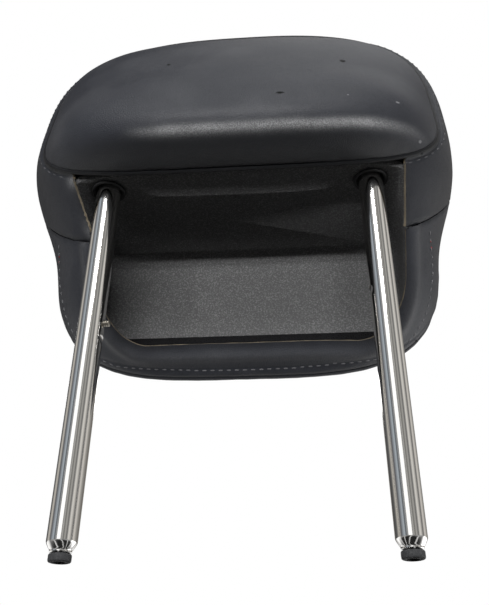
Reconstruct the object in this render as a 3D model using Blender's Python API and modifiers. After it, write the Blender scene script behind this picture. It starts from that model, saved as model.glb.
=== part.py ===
"""Head restraint for a vehicle seat: a padded head cushion on two hollow posts.

The origin is midway between the posts, level with the bottoms of their end plugs. +Z runs up the
posts, +Y points to the occupant, and the rear of the cushion faces -Y. All sizes are in metres.
"""
import math

import bmesh
import bpy
from mathutils import Vector

# Posts
POST_DIAMETER = 0.014
POST_SPACING = 0.154
POST_WALL = 0.002
POST_DROP = 0.2105
POST_RISE = 0.060
NECK_DIAMETER = 0.010
NECK_LENGTH = 0.0012
NECK_TAPER = 0.004
PLUG_DIAMETER = 0.0104
PLUG_HEIGHT = 0.0037
PLUG_STEM_LENGTH = 0.008
PLUG_RECESS_DIAMETER = 0.0054
PLUG_RECESS_DEPTH = 0.0015

# Locking features of the posts, as heights above the plug bottoms
LEFT_NOTCH_HEIGHT = 0.1096
RIGHT_NOTCH_HEIGHT = 0.1339
NOTCH_RADIUS = 0.004
NOTCH_DEPTH = 0.0012
BUTTON_HEIGHT = 0.120
BUTTON_DIAMETER = 0.0037
BUTTON_STANDS_OUT = 0.0030
BUTTON_FLANGE_DIAMETER = 0.0054
BUTTON_FLANGE_THICKNESS = 0.001
SPRING_WIRE = 0.0005
SPRING_DIAMETER = 0.0040
SPRING_TURNS = 5

# Cushion outline: the rear panel's seam and the front panel's seam, heights above the tray
REAR_HALF_WIDTH = 0.1183
REAR_WIDEST_HEIGHT = 0.058
REAR_TOP_HEIGHT = 0.1514
REAR_LOWER_ROUNDING = 5.2
REAR_UPPER_ROUNDING = 2.7
REAR_SEAM_BOTTOM_Y = -0.016
REAR_SEAM_TOP_Y = 0.018
REAR_SEAM_CURVE = 0.85
REAR_CROWN = 0.036
REAR_SHELF_START = 0.30
FRONT_HALF_WIDTH = 0.1250
FRONT_MIDDLE_HEIGHT = 0.0293
FRONT_HALF_HEIGHT = 0.1227
FRONT_ROUNDING = 3.8
FRONT_SEAM_Y = 0.067
FRONT_CROWN = 0.032
BAND_BULGE = 0.0050
CHEEK_BULGE = 0.0060
CHEEK_BULGE_LOW = -0.4
FORM_CUTS = 11

# Cover, piping and foam
COVER_THICKNESS = 0.0018
SEAM_HALF_GAP = 0.0017
PIPING_RADIUS = 0.001
PIPING_POINTS = 45
CHEEK_SEAM_Y = 0.013
CHEEK_SEAM_DROP = 0.008
CHEEK_SEAM_LEAN = 0.23
CHEEK_SEAM_TOP = 0.061

# Tray recessed into the underside
TRAY_WALL = 0.0025
TRAY_REAR_Y = -0.016
TRAY_PANEL_Y = 0.072
TRAY_LEDGE_Y = 0.052
TRAY_LEDGE_HEIGHT = 0.0145
TRAY_SIDE_MARGIN = 0.0165
LIP_HEIGHT = 0.0164
TRAY_CORNER_RADIUS = 0.027
TRAY_FOLD_DEPTH = 0.005
TRAY_FOLD_HEIGHT = 0.009
TRAY_SETBACK = 0.0008

# Guide bushes round the posts
BUSH_FLANGE_DIAMETER = 0.0225
BUSH_MOUTH_DIAMETER = 0.0174
BUSH_SLEEVE_DIAMETER = 0.0188
BUSH_FLANGE_HEIGHT = 0.0016
BUSH_FUNNEL_DEPTH = 0.002

# Carrier, cross bar and fasteners inside the cushion
CARRIER_SIDE_MARGIN = 0.003
CARRIER_REAR_WALL = 0.0035
CARRIER_FRONT_DEPTH = 0.020
CARRIER_HEIGHT = 0.046
BAR_THICKNESS = 0.004
BAR_DEPTH = 0.018
BAR_END_MARGIN = 0.010
COLLAR_DIAMETER = 0.019
COLLAR_HEIGHT = 0.0045
SCREW_DIAMETER = 0.005
SCREW_HEAD_DIAMETER = 0.009
SCREW_HEAD_HEIGHT = 0.003
SCREW_SPREAD = 0.042
SCREW_LOW_HEIGHT = 0.014
SCREW_PITCH = 0.022

# Clearances
GAP = 0.0003
SLIDE_GAP = 0.0002
SCREW_GAP = 0.0003
POST_GAP = 0.0004

PART_NAME = "head_restraint"
ROUND_STEPS = 28
SMALL_STEPS = 20
POST_RADIUS = POST_DIAMETER / 2
BORE_RADIUS = POST_RADIUS - POST_WALL
NECK_RADIUS = NECK_DIAMETER / 2
NECK_BORE_RADIUS = NECK_RADIUS - POST_WALL
HALF_SPACING = POST_SPACING / 2
TRAY_HALF_WIDTH = HALF_SPACING + TRAY_SIDE_MARGIN
TRAY_LEDGE_DROP = FRONT_HALF_HEIGHT - FRONT_MIDDLE_HEIGHT - LIP_HEIGHT
TRAY_PANEL_DROP = TRAY_LEDGE_DROP - TRAY_LEDGE_HEIGHT
CARRIER_HALF_WIDTH = HALF_SPACING + POST_RADIUS + CARRIER_SIDE_MARGIN
NECK_BOTTOM = PLUG_HEIGHT + GAP
CARRIER_BOTTOM = POST_DROP + TRAY_WALL + GAP
CARRIER_TOP = CARRIER_BOTTOM + CARRIER_HEIGHT
BAR_BOTTOM = CARRIER_TOP + GAP
COLLAR_BOTTOM = BAR_BOTTOM + BAR_THICKNESS + GAP
CARRIER_REAR_Y = -POST_RADIUS - CARRIER_REAR_WALL
SCREW_LENGTH = CARRIER_FRONT_DEPTH - CARRIER_REAR_Y - 2 * SCREW_HEAD_HEIGHT

for old in list(bpy.data.objects):
    bpy.data.objects.remove(old, do_unlink=True)
parts = bpy.data.collections.new(PART_NAME)
cutters = bpy.data.collections.new(PART_NAME + "_cutters")
for collection in (parts, cutters):
    bpy.context.scene.collection.children.link(collection)


def finish(name, color, roughness, metallic=0.0):
    """Make a Principled material."""
    material = bpy.data.materials.new(name)
    material.use_nodes = True
    shader = material.node_tree.nodes["Principled BSDF"]
    shader.inputs["Base Color"].default_value = (*color, 1.0)
    shader.inputs["Roughness"].default_value = roughness
    shader.inputs["Metallic"].default_value = metallic
    return material


CHROME = ((0.62, 0.62, 0.62), 0.12, 1.0)
STEEL = ((0.35, 0.35, 0.36), 0.4, 1.0)
PLASTIC = ((0.022, 0.022, 0.024), 0.55)
CARRIER_PLASTIC = ((0.05, 0.05, 0.05), 0.5)
LEATHER = ((0.035, 0.036, 0.039), 0.5)
FOAM = ((0.55, 0.50, 0.36), 0.95)


def add_part(name, mesh, look):
    """Put a mesh in the parts collection as one named node with its own material."""
    node = bpy.data.objects.new(name, mesh)
    parts.objects.link(node)
    mesh.materials.clear()
    mesh.materials.append(finish(name, *look))
    return node


def add_cutter(name, mesh):
    """Put a mesh in the cutters collection, hidden from the finished part."""
    cutter = bpy.data.objects.new(name, mesh)
    cutters.objects.link(cutter)
    cutter.hide_render = True
    cutter.display_type = "WIRE"
    return cutter


def cut(node, cutter, operation="DIFFERENCE"):
    """Add a Boolean with a cutter."""
    boolean = node.modifiers.new(operation.lower() + "_" + cutter.name, "BOOLEAN")
    boolean.operation = operation
    boolean.solver = "EXACT"
    boolean.object = cutter


def mesh_of(bm, name):
    """Turn a bmesh into a mesh."""
    bmesh.ops.recalc_face_normals(bm, faces=bm.faces)
    mesh = bpy.data.meshes.new(name)
    bm.to_mesh(mesh)
    bm.free()
    return mesh


def box_mesh(name, low, high):
    """A box between two corners."""
    bm = bmesh.new()
    bmesh.ops.create_cube(bm, size=1.0)
    for vert in bm.verts:
        vert.co = Vector([low[k] + (vert.co[k] + 0.5) * (high[k] - low[k]) for k in range(3)])
    return mesh_of(bm, name)


def rod_mesh(name, radius, start, end, steps=SMALL_STEPS):
    """A round rod between two points."""
    start, end = Vector(start), Vector(end)
    along = end - start
    bm = bmesh.new()
    ends = {"radius1": radius, "radius2": radius, "depth": along.length}
    bmesh.ops.create_cone(bm, cap_ends=True, segments=steps, **ends)
    turn = Vector((0, 0, 1)).rotation_difference(along.normalized()).to_matrix()
    bmesh.ops.rotate(bm, cent=(0, 0, 0), matrix=turn, verts=bm.verts)
    bmesh.ops.translate(bm, vec=(start + end) / 2, verts=bm.verts)
    return mesh_of(bm, name)


def turned_part(name, profile, look, place, steps=ROUND_STEPS, closed=True):
    """Turn a (radius, height) profile about Z: a closed loop, or an open row that ends on the axis."""
    mesh = bpy.data.meshes.new(name)
    count = len(profile)
    edges = [(k, (k + 1) % count) for k in range(count if closed else count - 1)]
    mesh.from_pydata([(r, 0.0, z) for r, z in profile], edges, [])
    node = add_part(name, mesh, look)
    node.location = place
    screw = node.modifiers.new("turn", "SCREW")
    screw.angle = math.tau
    screw.steps = steps
    screw.render_steps = steps
    screw.use_merge_vertices = True
    screw.merge_threshold = 1e-6
    screw.use_smooth_shade = True
    return node


def bake_curve(curve, name):
    """Turn a curve into a welded mesh."""
    holder = bpy.data.objects.new(name, curve)
    cutters.objects.link(holder)
    bpy.context.view_layer.update()
    evaluated = holder.evaluated_get(bpy.context.evaluated_depsgraph_get())
    mesh = bpy.data.meshes.new_from_object(evaluated)
    bpy.data.objects.remove(holder, do_unlink=True)
    bm = bmesh.new()
    bm.from_mesh(mesh)
    bmesh.ops.remove_doubles(bm, verts=bm.verts, dist=1e-6)
    bmesh.ops.recalc_face_normals(bm, faces=bm.faces)
    bm.to_mesh(mesh)
    bm.free()
    return mesh


def outline_mesh(name, points, half_thickness, axes):
    """Extrude a closed flat outline both ways. The axes give the outline's two world axes."""
    curve = bpy.data.curves.new(name, "CURVE")
    curve.dimensions = "2D"
    curve.fill_mode = "BOTH"
    curve.extrude = half_thickness
    spline = curve.splines.new("POLY")
    spline.points.add(len(points) - 1)
    for target, (a, b) in zip(spline.points, points):
        target.co = (a, b, 0.0, 1.0)
    spline.use_cyclic_u = True
    mesh = bake_curve(curve, name)
    first, second = axes
    third = 3 - first - second
    for vert in mesh.vertices:
        place = [0.0, 0.0, 0.0]
        place[first], place[second], place[third] = vert.co
        vert.co = place
    bm = bmesh.new()
    bm.from_mesh(mesh)
    return mesh_of(bm, name)


def tube_part(name, points, radius, look):
    """A round tube along a row of points."""
    curve = bpy.data.curves.new(name, "CURVE")
    curve.dimensions = "3D"
    curve.bevel_depth = radius
    curve.bevel_resolution = 1
    curve.use_fill_caps = True
    spline = curve.splines.new("POLY")
    spline.points.add(len(points) - 1)
    for target, point in zip(spline.points, points):
        target.co = (*point, 1.0)
    return add_part(name, bake_curve(curve, name), look)


def arc(center, radius, start, end, count=5):
    """Points along an arc, angles in degrees."""
    angles = [math.radians(start + (end - start) * k / count) for k in range(count + 1)]
    return [(center[0] + radius * math.cos(a), center[1] + radius * math.sin(a)) for a in angles]


def rear_seam_y(height):
    """How far forward the rear panel's seam lies at a height above the tray."""
    share = min(max(height / REAR_TOP_HEIGHT, 0.0), 1.0)
    return REAR_SEAM_BOTTOM_Y + (REAR_SEAM_TOP_Y - REAR_SEAM_BOTTOM_Y) * share ** REAR_SEAM_CURVE


def rear_ring(u, v):
    """The rear seam, for a direction (u, v) on the unit square, as width and height above the tray."""
    rounding = REAR_LOWER_ROUNDING if v < 0 else REAR_UPPER_ROUNDING
    reach = REAR_WIDEST_HEIGHT if v < 0 else REAR_TOP_HEIGHT - REAR_WIDEST_HEIGHT
    length = (abs(u) ** rounding + abs(v) ** rounding) ** (1 / rounding)
    return REAR_HALF_WIDTH * u / length, REAR_WIDEST_HEIGHT + reach * v / length


def front_ring(u, v):
    """The front seam, for a direction (u, v) on the unit square, as width and height above the tray."""
    length = (abs(u) ** FRONT_ROUNDING + abs(v) ** FRONT_ROUNDING) ** (1 / FRONT_ROUNDING)
    return FRONT_HALF_WIDTH * u / length, FRONT_MIDDLE_HEIGHT + FRONT_HALF_HEIGHT * v / length


def direction(u, v):
    """Split a point of the unit square into its distance from the middle and its direction."""
    reach = max(abs(u), abs(v))
    if reach == 0:
        return 0.0, 1.0, 0.0
    return reach, u / reach, v / reach


def shelf_share(a, b):
    """How far the rear panel's sharp lower turn holds in a direction: 1 below the middle, 0 at the sides."""
    if b >= 0:
        return 0.0
    share = min(max((abs(a) - REAR_SHELF_START) / (1 - REAR_SHELF_START), 0.0), 1.0)
    return 1 - share * share * (3 - 2 * share)


def rear_point(u, v):
    """A point of the rear panel, which turns in sharply at its bottom and leans in towards its top."""
    reach, a, b = direction(u, v)
    width, height = rear_ring(a, b)
    z = REAR_WIDEST_HEIGHT + (height - REAR_WIDEST_HEIGHT) * reach
    rise = max(z - REAR_WIDEST_HEIGHT, 0.0) / (REAR_TOP_HEIGHT - REAR_WIDEST_HEIGHT)
    steep = max(1 - reach ** 6, 0.0) ** 0.45
    gentle = max(1 - reach ** 6, 0.0) ** 0.95
    profile = gentle + (steep - gentle) * shelf_share(a, b)
    crown = REAR_CROWN * profile * (1 - 0.8 * rise ** 1.8)
    return Vector((width * reach, rear_seam_y(z) - crown, POST_DROP + z))


def front_point(u, v):
    """A point of the crowned front panel."""
    reach, a, b = direction(u, v)
    width, height = front_ring(a, b)
    z = FRONT_MIDDLE_HEIGHT + (height - FRONT_MIDDLE_HEIGHT) * reach
    crown = FRONT_CROWN * math.sqrt(max(1 - reach ** 3, 0.0))
    return Vector((width * reach, FRONT_SEAM_Y + crown, POST_DROP + z))


def side_bulge(u, v):
    """How far the band bulges in a direction: most at the sides, less at the top and below the tray."""
    fade = min(max((CHEEK_BULGE_LOW - v) / (1 + CHEEK_BULGE_LOW), 0.0), 1.0)
    return BAND_BULGE + CHEEK_BULGE * u * u * (1 - fade)


def side_point(u, v, w):
    """A point of the bulging side band between the two seams, w from -1 at the rear to 1."""
    rear_x, rear_z = rear_ring(u, v)
    front_x, front_z = front_ring(u, v)
    rear = Vector((rear_x, rear_seam_y(rear_z), POST_DROP + rear_z))
    front = Vector((front_x, FRONT_SEAM_Y, POST_DROP + front_z))
    outward = Vector((u, 0.0, v)).normalized()
    return rear.lerp(front, (w + 1) / 2) + outward * side_bulge(u, v) * max(1 - w * w, 0.0) ** 0.6


def cushion_mesh(name, inset):
    """The cushion's closed form, moved inwards by an inset."""
    bm = bmesh.new()
    bmesh.ops.create_cube(bm, size=2.0)
    bmesh.ops.subdivide_edges(bm, edges=bm.edges, cuts=FORM_CUTS, use_grid_fill=True)
    for vert in bm.verts:
        u, w, v = vert.co
        u, v = math.sin(u * math.pi / 2), math.sin(v * math.pi / 2)
        if w < -0.999:
            vert.co = rear_point(u, v)
        elif w > 0.999:
            vert.co = front_point(u, v)
        else:
            vert.co = side_point(u, v, w)
    bmesh.ops.triangulate(bm, faces=bm.faces, quad_method="SHORT_EDGE")
    bm.normal_update()
    inward = [vert.normal * inset for vert in bm.verts]
    for vert, step in zip(bm.verts, inward):
        vert.co -= step
    return mesh_of(bm, name)


def recess_cutter(name, grow):
    """The space of the tray, grown by a wall: its side outline crossed with its rounded rear outline."""
    top = POST_DROP + grow
    panel = TRAY_PANEL_Y + grow
    below = -0.05
    side = [(TRAY_REAR_Y, below), (TRAY_REAR_Y, top)]
    side += [(panel - TRAY_FOLD_DEPTH, top), (panel, top - TRAY_FOLD_HEIGHT)]
    side += [(panel, POST_DROP - TRAY_PANEL_DROP - grow)]
    side += [(TRAY_LEDGE_Y, POST_DROP - TRAY_LEDGE_DROP - grow), (TRAY_LEDGE_Y, below)]
    half = TRAY_HALF_WIDTH + grow
    corner = TRAY_CORNER_RADIUS + grow
    low = POST_DROP - TRAY_LEDGE_DROP - 2 * grow
    back = [(-half, top + 0.01), (half, top + 0.01)]
    back += arc((half - corner, low + corner), corner, 0, -90)
    back += arc((corner - half, low + corner), corner, 270, 180)
    back_outline = add_cutter(name + "_back", outline_mesh(name + "_back", back, 0.2, (0, 2)))
    recess = add_cutter(name, outline_mesh(name, side, half + 0.01, (1, 2)))
    cut(recess, back_outline, "INTERSECT")
    return recess


def cheek_seam_points(low, front, offset):
    """The seam between cheeks and lip, from a low height up to the front seam, moved by an offset."""
    foot = CHEEK_SEAM_Y - (-CHEEK_SEAM_DROP - low) * CHEEK_SEAM_LEAN
    bend = (CHEEK_SEAM_Y + offset, -CHEEK_SEAM_DROP)
    return [(foot + offset, low), bend, (front, CHEEK_SEAM_TOP - offset)]


def slice_cutter(name, outline):
    """A slice of space across the cushion, from an outline of y and height above the tray."""
    points = [(y, POST_DROP + height) for y, height in outline]
    return add_cutter(name, outline_mesh(name, points, 0.2, (1, 2)))


def rear_seam_points(low, high, offset):
    """Points up the rear seam between two heights, moved forward by an offset."""
    count = 28
    heights = [low + (high - low) * k / count for k in range(count + 1)]
    return [(rear_seam_y(height) + offset, height) for height in heights]


# Posts, plugs and the sprung stop button
def post_profile():
    """A hollow post with a drawn-in neck at its bottom end."""
    top = POST_DROP + POST_RISE
    taper_bottom = NECK_BOTTOM + NECK_LENGTH
    taper_top = taper_bottom + NECK_TAPER
    outside = [(POST_RADIUS, top), (POST_RADIUS, taper_top)]
    outside += [(NECK_RADIUS, taper_bottom), (NECK_RADIUS, NECK_BOTTOM)]
    inside = [(NECK_BORE_RADIUS, NECK_BOTTOM), (NECK_BORE_RADIUS, taper_bottom)]
    return outside + inside + [(BORE_RADIUS, taper_top), (BORE_RADIUS, top)]


def plug_profile():
    """A push-in end plug: a stem in the neck's bore, a head below it and a recess in the head."""
    stem = NECK_BORE_RADIUS - GAP
    head = PLUG_DIAMETER / 2
    recess = PLUG_RECESS_DIAMETER / 2
    round_off = 0.0006
    stem_top = PLUG_HEIGHT + PLUG_STEM_LENGTH
    points = [(0.0, stem_top), (stem, stem_top), (stem, PLUG_HEIGHT)]
    points += [(head - round_off, PLUG_HEIGHT), (head, PLUG_HEIGHT - round_off), (head, round_off)]
    points += [(head - round_off, 0.0), (recess, 0.0), (recess, PLUG_RECESS_DEPTH), (0.0, PLUG_RECESS_DEPTH)]
    return points


NOTCH_HEIGHTS = {"left": LEFT_NOTCH_HEIGHT, "right": RIGHT_NOTCH_HEIGHT}
SIDES = {"left": -1, "right": 1}
posts = {}
for side_name, side_sign in SIDES.items():
    axis_x = side_sign * HALF_SPACING
    post = turned_part(side_name + "_post", post_profile(), CHROME, (axis_x, 0, 0))
    posts[side_name] = post
    notch_x = axis_x - side_sign * (POST_RADIUS + NOTCH_RADIUS - NOTCH_DEPTH)
    notch_z = NOTCH_HEIGHTS[side_name]
    notch_ends = [(notch_x, y, notch_z) for y in (-POST_DIAMETER, POST_DIAMETER)]
    notch = add_cutter(side_name + "_notch", rod_mesh(side_name + "_notch", NOTCH_RADIUS, *notch_ends))
    cut(post, notch)
    plug_name = side_name + "_end_plug"
    turned_part(plug_name, plug_profile(), PLASTIC, (axis_x, 0, 0), SMALL_STEPS, closed=False)

button_axis = Vector((-HALF_SPACING, 0, BUTTON_HEIGHT))
hole_radius = BUTTON_DIAMETER / 2 + SLIDE_GAP
hole_mesh = rod_mesh("button_hole", hole_radius, button_axis, button_axis + Vector((POST_DIAMETER, 0, 0)))
cut(posts["left"], add_cutter("button_hole", hole_mesh))
flange_radius = BUTTON_FLANGE_DIAMETER / 2
flange_top = math.sqrt(BORE_RADIUS ** 2 - flange_radius ** 2) - GAP
flange_bottom = flange_top - BUTTON_FLANGE_THICKNESS
button_end = POST_RADIUS + BUTTON_STANDS_OUT
button_radius = BUTTON_DIAMETER / 2
button_chamfer = 0.0004
button_profile = [(0.0, button_end), (button_radius - button_chamfer, button_end)]
button_profile += [(button_radius, button_end - button_chamfer), (button_radius, flange_top)]
button_profile += [(flange_radius, flange_top), (flange_radius, flange_bottom), (0.0, flange_bottom)]
button = turned_part("stop_button", button_profile, STEEL, button_axis, SMALL_STEPS, closed=False)
button.rotation_euler = (0, math.pi / 2, 0)

spring_radius = (SPRING_DIAMETER - SPRING_WIRE) / 2
spring_end = flange_bottom - GAP - SPRING_WIRE / 2
spring_start = SPRING_WIRE / 2 + GAP - math.sqrt(BORE_RADIUS ** 2 - (SPRING_DIAMETER / 2) ** 2)
spring_steps = SPRING_TURNS * 10
spring_points = []
for step in range(spring_steps + 1):
    angle = math.tau * step / 10
    lift = spring_start + (spring_end - spring_start) * step / spring_steps
    around = Vector((lift, spring_radius * math.cos(angle), spring_radius * math.sin(angle)))
    spring_points.append(button_axis + around)
tube_part("stop_spring", spring_points, SPRING_WIRE / 2, STEEL)

# Tray with its two guide bushes
tray_space = recess_cutter("tray_space", 0.0)
tray_body = recess_cutter("tray_body", TRAY_WALL)
tray_room = recess_cutter("tray_room", TRAY_WALL + GAP)
tray_limit = add_cutter("tray_limit", cushion_mesh("tray_limit", TRAY_SETBACK))
bpy.context.view_layer.update()


def evaluated_copy(source, name):
    """A plain mesh of an object as its modifiers leave it."""
    evaluated = source.evaluated_get(bpy.context.evaluated_depsgraph_get())
    mesh = bpy.data.meshes.new_from_object(evaluated)
    mesh.name = name
    return mesh


tray = add_part("bottom_tray", evaluated_copy(tray_body, "bottom_tray"), PLASTIC)
cut(tray, tray_space)
cut(tray, tray_limit, "INTERSECT")
bush_hole_radius = BUSH_SLEEVE_DIAMETER / 2 + GAP
for side_name, side_sign in SIDES.items():
    axis_x = side_sign * HALF_SPACING
    hole_ends = [(axis_x, 0, POST_DROP + z) for z in (-TRAY_WALL, 2 * TRAY_WALL)]
    hole_name = side_name + "_bush_hole"
    hole = add_cutter(hole_name, rod_mesh(hole_name, bush_hole_radius, *hole_ends))
    cut(tray, hole)
    inner = POST_RADIUS + POST_GAP
    sleeve = BUSH_SLEEVE_DIAMETER / 2
    flange = BUSH_FLANGE_DIAMETER / 2
    mouth = BUSH_MOUTH_DIAMETER / 2
    flange_base = -GAP - BUSH_FLANGE_HEIGHT
    bush_profile = [(inner, TRAY_WALL), (sleeve, TRAY_WALL), (sleeve, -GAP), (flange - 0.0006, -GAP)]
    bush_profile += [(flange, -GAP - 0.0004), (flange - 0.001, flange_base), (mouth, flange_base)]
    bush_profile += [(inner, flange_base + BUSH_FUNNEL_DEPTH)]
    turned_part(side_name + "_bush", bush_profile, PLASTIC, (axis_x, 0, POST_DROP))

# Carrier halves, cross bar, collars and screws
screw_places = [(sx * SCREW_SPREAD, SCREW_LOW_HEIGHT + k * SCREW_PITCH) for sx in (-1, 1) for k in (0, 1)]
carrier_halves = {"carrier_rear": (CARRIER_REAR_Y, -GAP / 2)}
carrier_halves["carrier_front"] = (GAP / 2, CARRIER_FRONT_DEPTH)
post_bores = []
for side_name, side_sign in SIDES.items():
    axis_x = side_sign * HALF_SPACING
    ends = [(axis_x, 0, CARRIER_BOTTOM - 0.01), (axis_x, 0, COLLAR_BOTTOM + 0.02)]
    name = side_name + "_post_bore"
    post_bores.append(add_cutter(name, rod_mesh(name, POST_RADIUS + POST_GAP, *ends, ROUND_STEPS)))
screw_bores = []
for number, (x, z) in enumerate(screw_places, 1):
    level = CARRIER_BOTTOM + z
    name = "screw_bore_" + str(number)
    shank_ends = [(x, -0.03, level), (x, CARRIER_REAR_Y + SCREW_HEAD_HEIGHT + SCREW_LENGTH + GAP, level)]
    head_ends = [(x, -0.03, level), (x, CARRIER_REAR_Y + SCREW_HEAD_HEIGHT + GAP, level)]
    head_room = SCREW_HEAD_DIAMETER / 2 + SCREW_GAP
    screw_bores.append(add_cutter(name, rod_mesh(name, SCREW_DIAMETER / 2 + SCREW_GAP, *shank_ends)))
    screw_bores.append(add_cutter(name + "_head", rod_mesh(name + "_head", head_room, *head_ends)))
    head = SCREW_HEAD_DIAMETER / 2
    shank = SCREW_DIAMETER / 2
    screw_profile = [(0.0, 0.0), (head, 0.0), (head, -SCREW_HEAD_HEIGHT), (shank, -SCREW_HEAD_HEIGHT)]
    screw_profile += [(shank, -SCREW_HEAD_HEIGHT - SCREW_LENGTH), (0.0, -SCREW_HEAD_HEIGHT - SCREW_LENGTH)]
    screw_name = "carrier_screw_" + str(number)
    screw_place = (x, CARRIER_REAR_Y, level)
    screw = turned_part(screw_name, screw_profile, STEEL, screw_place, SMALL_STEPS, closed=False)
    screw.rotation_euler = (math.pi / 2, 0, 0)
for half_name, (rear_y, front_y) in carrier_halves.items():
    low_corner = (-CARRIER_HALF_WIDTH, rear_y, CARRIER_BOTTOM)
    high_corner = (CARRIER_HALF_WIDTH, front_y, CARRIER_TOP)
    half = add_part(half_name, box_mesh(half_name, low_corner, high_corner), CARRIER_PLASTIC)
    for cutter in post_bores + screw_bores:
        cut(half, cutter)

bar_half = HALF_SPACING + BAR_END_MARGIN
bar_low = (-bar_half, -BAR_DEPTH / 2, BAR_BOTTOM)
bar_high = (bar_half, BAR_DEPTH / 2, BAR_BOTTOM + BAR_THICKNESS)
cross_bar = add_part("cross_bar", box_mesh("cross_bar", bar_low, bar_high), STEEL)
for bore in post_bores:
    cut(cross_bar, bore)
for side_name, side_sign in SIDES.items():
    outer = COLLAR_DIAMETER / 2
    inner = POST_RADIUS + POST_GAP
    collar_profile = [(outer, COLLAR_HEIGHT), (outer, 0.0), (inner, 0.0), (inner, COLLAR_HEIGHT)]
    collar_place = (side_sign * HALF_SPACING, 0, COLLAR_BOTTOM)
    turned_part(side_name + "_post_collar", collar_profile, STEEL, collar_place)

# Foam core with room for the tray and the hardware
foam = add_part("foam_core", cushion_mesh("foam_core", COVER_THICKNESS + GAP), FOAM)
cut(foam, tray_room)
room_low = (-CARRIER_HALF_WIDTH - GAP, CARRIER_REAR_Y - GAP, POST_DROP - TRAY_WALL)
room_high = (CARRIER_HALF_WIDTH + GAP, CARRIER_FRONT_DEPTH + GAP, CARRIER_TOP + GAP)
hardware_room = add_cutter("hardware_room", box_mesh("hardware_room", room_low, room_high))
cut(foam, hardware_room)
bar_room_low = (-bar_half - GAP, -COLLAR_DIAMETER / 2 - GAP, CARRIER_TOP - GAP)
bar_room_high = (bar_half + GAP, COLLAR_DIAMETER / 2 + GAP, POST_DROP + POST_RISE + GAP)
bar_room = add_cutter("bar_room", box_mesh("bar_room", bar_room_low, bar_room_high))
cut(foam, bar_room)

# Leather cover panels and the piping of the rear seam
FAR = 0.3
cover_limit = add_cutter("cover_limit", cushion_mesh("cover_limit", COVER_THICKNESS))
below = FRONT_MIDDLE_HEIGHT - FRONT_HALF_HEIGHT - 0.02
above = max(REAR_TOP_HEIGHT, FRONT_MIDDLE_HEIGHT + FRONT_HALF_HEIGHT) + 0.02
band_front = FRONT_SEAM_Y - SEAM_HALF_GAP
rear_outline = rear_seam_points(below, above, -SEAM_HALF_GAP) + [(-FAR, above), (-FAR, below)]
rear_region = slice_cutter("rear_region", rear_outline)
front_edge = FRONT_SEAM_Y + SEAM_HALF_GAP
front_outline = [(front_edge, below), (FAR, below), (FAR, above), (front_edge, above)]
front_region = slice_cutter("front_region", front_outline)
cheek_outline = rear_seam_points(below, above, SEAM_HALF_GAP) + [(band_front, above)]
cheek_outline += reversed(cheek_seam_points(below, band_front, -GAP))
cheek_region = slice_cutter("cheek_region", cheek_outline)
lip_outline = cheek_seam_points(below, band_front, GAP) + [(band_front, below)]
lip_region = slice_cutter("lip_region", lip_outline)
half_spaces = {}
for side_name, side_sign in SIDES.items():
    low_x, high_x = sorted((side_sign * GAP / 2, side_sign * FAR))
    mesh = box_mesh(side_name + "_half", (low_x, -FAR, -FAR), (high_x, FAR, 2 * FAR))
    half_spaces[side_name] = add_cutter(side_name + "_half", mesh)

panels = {"rear_cover": [rear_region], "front_cover": [front_region], "lip_cover": [lip_region]}
for side_name in SIDES:
    panels[side_name + "_cheek_cover"] = [cheek_region, half_spaces[side_name]]
for panel_name, regions in panels.items():
    panel = add_part(panel_name, cushion_mesh(panel_name, 0.0), LEATHER)
    for region in regions:
        cut(panel, region, "INTERSECT")
    cut(panel, cover_limit)
    cut(panel, tray_room)

piping_points = []
turn_from = -0.215 * math.pi
for k in range(PIPING_POINTS + 1):
    turn = turn_from + (math.pi - 2 * turn_from) * k / PIPING_POINTS
    square = max(abs(math.cos(turn)), abs(math.sin(turn)))
    width, height = rear_ring(math.cos(turn) / square, math.sin(turn) / square)
    piping_points.append(Vector((width, rear_seam_y(height), POST_DROP + height)))
tube_part("rear_piping", piping_points, PIPING_RADIUS, LEATHER)

for node in parts.objects:
    node.data.shade_smooth()
    node.data.set_sharp_from_angle(angle=math.radians(35))
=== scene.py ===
"""Dressed model of a car-seat head restraint: leather cushion, grained tray and chrome posts."""

import logging
import math
from contextlib import contextmanager
from dataclasses import dataclass, field, replace
from enum import Enum
from typing import Any, Callable, Iterator, Optional, Sequence, Union

import bpy
import numpy as np
from mathutils import Matrix, Vector, noise
from mathutils.kdtree import KDTree


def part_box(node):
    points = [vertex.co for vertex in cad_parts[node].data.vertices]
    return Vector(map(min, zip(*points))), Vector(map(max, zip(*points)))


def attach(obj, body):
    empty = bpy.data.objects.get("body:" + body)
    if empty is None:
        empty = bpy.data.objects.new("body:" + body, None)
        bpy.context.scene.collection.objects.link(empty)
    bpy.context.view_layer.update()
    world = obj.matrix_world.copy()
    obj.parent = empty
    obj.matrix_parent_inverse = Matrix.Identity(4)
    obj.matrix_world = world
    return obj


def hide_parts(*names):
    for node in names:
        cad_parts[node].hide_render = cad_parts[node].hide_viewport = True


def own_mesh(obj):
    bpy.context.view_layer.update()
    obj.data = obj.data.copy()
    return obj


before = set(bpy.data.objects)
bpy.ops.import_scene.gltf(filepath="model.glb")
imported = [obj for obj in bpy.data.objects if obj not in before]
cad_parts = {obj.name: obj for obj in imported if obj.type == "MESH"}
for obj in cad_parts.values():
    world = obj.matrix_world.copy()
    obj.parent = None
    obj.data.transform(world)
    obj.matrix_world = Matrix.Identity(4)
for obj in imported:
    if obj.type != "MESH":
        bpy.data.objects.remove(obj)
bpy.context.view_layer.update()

LOG = logging.getLogger("head_restraint")
BODY = "restraint"
BUTTON_BODY = "button"
TRAY_Z = 0.2105
POST_X = 0.077
POST_RADIUS = 0.007
CLOSE = 1e-4
TINY = 1e-6
Points = np.ndarray
Piece = bpy.types.Object
Material = bpy.types.Material
Color = tuple[float, float, float]
Profile = Sequence[tuple[float, float]]
BLACK: Color = (0.0, 0.0, 0.0)


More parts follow.
